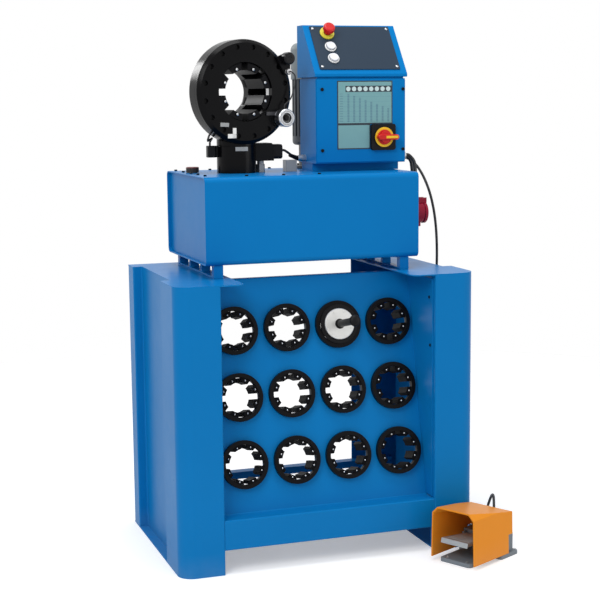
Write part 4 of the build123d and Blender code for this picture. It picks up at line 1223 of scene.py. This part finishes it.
@dataclass
class Motor(Assembly):
    """The electric motor standing behind the control box."""

    axis: Spot = (121.0, 185.0)
    top: float = 1311.0
    flange_top: float = 980.0
    vents: int = 20
    vent_circle: float = 29.0
    screw_circle: float = 52.0

    def build(self) -> None:
        """Dresses the motor, lays black plates whose colour is painted shade for the cowl's vent
        slots, and models the tie screws.
        """
        self.edge(Finishes.MOTOR, 1.0, "motor_bell")
        self.edge(Finishes.MOTOR, 0.6, "motor_frame")
        self.edge(Finishes.COWL, 0.8, "motor_cowl")
        self.paint("inlet_leads", Finishes.CABLE)
        crown = plane((*self.axis, self.top), (1, 0, 0), (0, 0, 1))
        flange = plane((*self.axis, self.flange_top), (1, 0, 0), (0, 0, 1))
        # Painted shade: thin black plates on the cowl's crown stand in for the dark openings of its
        # vent slots.
        slot = Bench.slab("cowl_vent_shade_plates", (3.4, 17.0, 0.5))
        Bench.terrace(slot, (0.5, 0.0))
        Bench.soften(slot, 0.15)
        places = crown.ring((self.vent_circle,), self.vents, turn=-90.0, follow=1.0)
        self.lay(slot, places, Finishes.BLACK, "black_plastic")
        screw = Bench.socket_screw("bell_screws", 4.6, 4.5)
        places = flange.ring((self.screw_circle,), 4, 45.0)
        self.lay(screw, places, Finishes.BOLT, "bolt_black")


@dataclass
class Pedal(Assembly):
    """The foot pedal under its guard."""

    front: Spot = (271.7, -389.2)
    turn: float = 62.0
    guard_height: float = 142.0
    guard_drop: float = 26.0
    guard_length: float = 165.0
    guard_slope_low: float = 90.0  # below it the guard's walls are upright
    roof: float = 5.5
    lever_rise: float = 7.0
    hinge: Spot = (112.0, 46.0)
    base_screws: tuple[Spot, ...] = ((-30.0, 20.0), (30.0, 20.0), (-60.0, 187.0), (60.0, 187.0))

    @property
    def ground(self) -> Place:
        """Returns the floor under the pedal, its up axis running to the pedal's rear."""
        turn = radians(self.turn)
        return plane((*self.front, 0), (cos(turn), -sin(turn), 0), (0, 0, 1))

    def build(self) -> None:
        """Dresses the pedal, lays treads on its lever and adds the screws in its base."""
        self.edge(Finishes.PEDAL, 1.2, "pedal_base")
        self.edge(Finishes.GUARD, 1.0, "pedal_guard", shaping=self.raise_ceiling)
        self.edge(Finishes.LEVER, 1.0, "pedal_lever")
        self.paint("pedal_pin", Finishes.BRIGHT)
        self.treads()
        screw = Bench.dome_screw("base_screws", 3.6, 2.4)
        places = [self.ground.at(x, y, 10.0) for x, y in self.base_screws]
        self.lay(screw, places, Finishes.ZINC, "bright_steel")

    def raise_ceiling(self, guard: Piece) -> None:
        """Lifts the front of the guard's ceiling, so that its roof is one thin sheet."""
        ground = self.ground
        back = ground.z_dir.cross(ground.x_dir)
        eaves = self.guard_height - self.guard_drop
        mesh = bmesh.from_edit_mesh(guard.data)
        for corner in mesh.verts:
            place = corner.co / MM - Vector((*self.front, 0))
            drop = self.guard_drop * place.dot(back) / self.guard_length
            below = place.z < self.guard_height - drop - self.roof
            if below and self.guard_slope_low < place.z < eaves:
                corner.co.z += (self.guard_drop - drop) * MM
        bmesh.update_edit_mesh(guard.data)

    def treads(self) -> None:
        """Lays the raised treads across the lever's top."""
        rise = radians(self.lever_rise)
        ground = self.ground
        back = ground.z_dir.cross(ground.x_dir)
        normal = ground.z_dir * cos(rise) + back * sin(rise)
        top = Place(ground.point(0.0, *self.hinge), ground.x_dir, normal)
        tread = Bench.slab("lever_treads", (70.0, 2.6, 1.2), 0.45)
        places = [top.at(0.0, -(14.0 + 7.5 * step), 3.6) for step in range(11)]
        self.lay(tread, places, Finishes.LEVER, "lever_grey", "pedal_lever")


@dataclass
class PedalCable(Assembly):
    """The pedal's cable, from its switch case over the floor and up into the control box."""

    diameter: float = 7.0
    route: tuple[Point, ...] = ()

    def build(self) -> None:
        """Lays the cable on one smooth line, with a boot and a gland at the pedal."""
        line = bpy.data.curves.new("pedal_cable_line", "CURVE")
        line.dimensions = "3D"
        line.bevel_depth = self.diameter / 2 * MM
        line.bevel_resolution = 5
        line.resolution_u = 12
        line.use_fill_caps = True
        spline = line.splines.new("NURBS")
        spline.points.add(len(self.route) - 1)
        for point, place in zip(spline.points, self.route):
            point.co = (*[value * MM for value in place], 1.0)
        spline.order_u = 3
        spline.use_endpoint_u = True
        cable = Bench.link("pedal_cable_sheath", line)
        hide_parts("pedal_cable")
        self.keep(cable, Finishes.CABLE, "cable_black")
        self.boot("pedal_cable_boot", self.route[0], self.route[1], 26.0, self.diameter / 2 + 2.6)
        self.edge(Finishes.BLACK, 0.8, "pedal_gland")


# ---------------------------------------------------------------------- studio


@dataclass
class Studio:
    """The pale floor, the soft light and the camera."""

    place: Point = (-1.1857, -3.4811, 1.1615)
    yaw: float = 18.93
    pitch: float = -8.14
    roll: float = -0.55
    lens: float = 84.5
    ambient: float = 0.58
    floor_radius: float = 7.0
    floor_glow: float = 0.30
    fade_mm: Spot = (1300.0, 3600.0)
    aim: Point = (0.0, 0.0, 0.75)

    def build(self) -> None:
        """Sets up everything round the machine."""
        self.camera()
        self.floor()
        self.world()
        self.lamps()
        bpy.context.scene.view_settings.view_transform = "Standard"

    def camera(self) -> None:
        """Places the camera by its yaw, pitch and roll."""
        yaw, pitch, roll = (radians(value) for value in (self.yaw, self.pitch, self.roll))
        ahead = Vector((sin(yaw) * cos(pitch), cos(yaw) * cos(pitch), sin(pitch)))
        level = Vector((cos(yaw), -sin(yaw), 0))
        right = level * cos(roll) + level.cross(ahead) * sin(roll)
        turned = Matrix((right, right.cross(ahead), -ahead)).transposed().to_4x4()
        lens = bpy.data.cameras.new("front_camera")
        lens.lens = self.lens
        lens.sensor_width = 36.0
        lens.clip_end = 60.0
        camera = Bench.link("front_camera", lens)
        camera.matrix_world = Matrix.Translation(self.place) @ turned
        bpy.context.scene.camera = camera

    def floor(self) -> None:
        """Lays a round pale floor whose rim fades away."""
        Bench.clear()
        bpy.ops.mesh.primitive_circle_add(
            vertices=96, radius=self.floor_radius, fill_type="NGON", location=(0, 0, 0)
        )
        floor = Bench.settle(bpy.context.object, "studio_floor")
        shader = Shader("studio_floor")
        across, along, _ = shader.axes()
        nearest, furthest = self.fade_mm
        fade = shader.node(
            "ShaderNodeMapRange",
            {"interpolation_type": "SMOOTHSTEP"},
            {
                "Value": (across * across + along * along).root(),
                "From Min": nearest,
                "From Max": furthest,
            },
        )
        shader.set("Base Color", (0.92, 0.92, 0.92))
        shader.set("Roughness", 0.9)
        shader.set("Specular IOR Level", 0.1)
        seen = shader.node("ShaderNodeLightPath").sibling("Is Camera Ray")
        dark, glow = (
            shader.node("ShaderNodeEmission", inputs={"Color": (level,) * 3, "Strength": strength})
            for level, strength in ((0.0, 0.0), (1.0, self.floor_glow))
        )
        lift = shader.node("ShaderNodeMixShader", inputs={0: seen, 1: dark, 2: glow})
        surface = Wire(shader, shader.surface.outputs[0])
        lit = shader.node("ShaderNodeAddShader", inputs={0: surface, 1: lift})
        clear = shader.node("ShaderNodeBsdfTransparent")
        mixed = shader.node("ShaderNodeMixShader", inputs={0: fade, 1: lit, 2: clear})
        shader.feed(shader.output.inputs["Surface"], mixed)
        floor.data.materials.append(shader.material)

    def world(self) -> None:
        """Shows white behind the machine and in its gloss, and lights it softly."""
        world = bpy.data.worlds.new("studio_world")
        bpy.context.scene.world = world
        world.use_nodes = True
        graph = Graph(world.node_tree)
        camera_ray = graph.node("ShaderNodeLightPath", output="Is Camera Ray")
        shown = camera_ray.larger(camera_ray.sibling("Is Transmission Ray"))
        shown = shown.larger(camera_ray.sibling("Is Glossy Ray"))
        soft, white = (
            graph.node("ShaderNodeBackground", inputs={"Color": (1.0,) * 3, "Strength": strength})
            for strength in (self.ambient, 1.0)
        )
        mixed = graph.node("ShaderNodeMixShader", inputs={0: shown, 1: soft, 2: white})
        output = graph.tree.nodes.new("ShaderNodeOutputWorld")
        graph.feed(output.inputs["Surface"], mixed)

    def lamps(self) -> None:
        """Hangs four soft boxes: key, fill, top, and a small one behind for the edges' gloss."""
        for name, place, size, power in (
            ("key_softbox", (-2.6, -2.6, 3.2), 1.8, 62.0),
            ("fill_softbox", (3.0, -2.4, 1.6), 1.6, 20.0),
            ("top_softbox", (-0.2, -0.3, 3.9), 1.8, 52.0),
            ("edge_softbox", (-1.3, 2.7, 2.1), 0.7, 16.0),
        ):
            lamp = bpy.data.lights.new(name, "AREA")
            lamp.size = size
            lamp.energy = power
            holder = Bench.link(name, lamp)
            holder.location = place
            aim = Vector(self.aim) - Vector(place)
            holder.rotation_euler = aim.to_track_quat("-Z", "Y").to_euler()
            holder.visible_camera = False
            holder.visible_diffuse = name != "edge_softbox"


# The cable's route from the pedal's gland to the control box's, in millimetres.
CABLE_ROUTE: tuple[tuple[float, float, float], ...] = (
    (427.1, -306.6, 76.0),
    (427.6, -306.6, 106.0),
    (435.1, -290.6, 130.0),
    (447.1, -260.6, 134.0),
    (455.1, -228.6, 110.0),
    (456.1, -206.6, 72.0),
    (453.1, -180.6, 36.0),
    (453.0, -150.0, 14.0),
    (446.0, -106.0, 4.4),
    (436.0, -62.0, 4.4),
    (420.0, -27.0, 8.0),
    (406.0, -6.0, 28.0),
    (403.0, 2.0, 72.0),
    (403.8, 3.0, 140.0),
    (402.8, 1.6, 222.0),
    (404.4, 2.8, 310.0),
    (403.2, 1.2, 402.0),
    (404.2, 2.9, 495.0),
    (403.0, 1.6, 588.0),
    (403.4, 3.8, 676.0),
    (404.8, 2.4, 756.0),
    (401.0, 5.0, 832.0),
    (391.0, 12.0, 896.0),
    (378.0, 26.0, 944.0),
    (367.0, 52.0, 978.0),
    (362.0, 88.0, 994.0),
    (357.0, 128.0, 1000.0),
    (341.0, 163.0, 1003.0),
    (312.0, 186.0, 1005.0),
    (284.0, 186.0, 1007.0),
    (270.0, 160.0, 1007.0),
    (270.0, 132.0, 1007.0),
)


def main() -> None:
    """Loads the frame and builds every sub-assembly over it."""
    logging.basicConfig(level=logging.INFO, format="%(name)s: %(message)s")
    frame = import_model()
    Studio().build()
    assemblies = (
        PedalCable(frame, route=CABLE_ROUTE),
        Cabinet(frame),
        DieRack(frame),
        Tank(frame),
        CrimpingHead(frame),
        ControlBox(frame),
        Motor(frame),
        Pedal(frame),
    )
    for assembly in assemblies:
        assembly.build()
        LOG.info("%s finished", type(assembly).__name__)


if __name__ == "__main__":
    main()
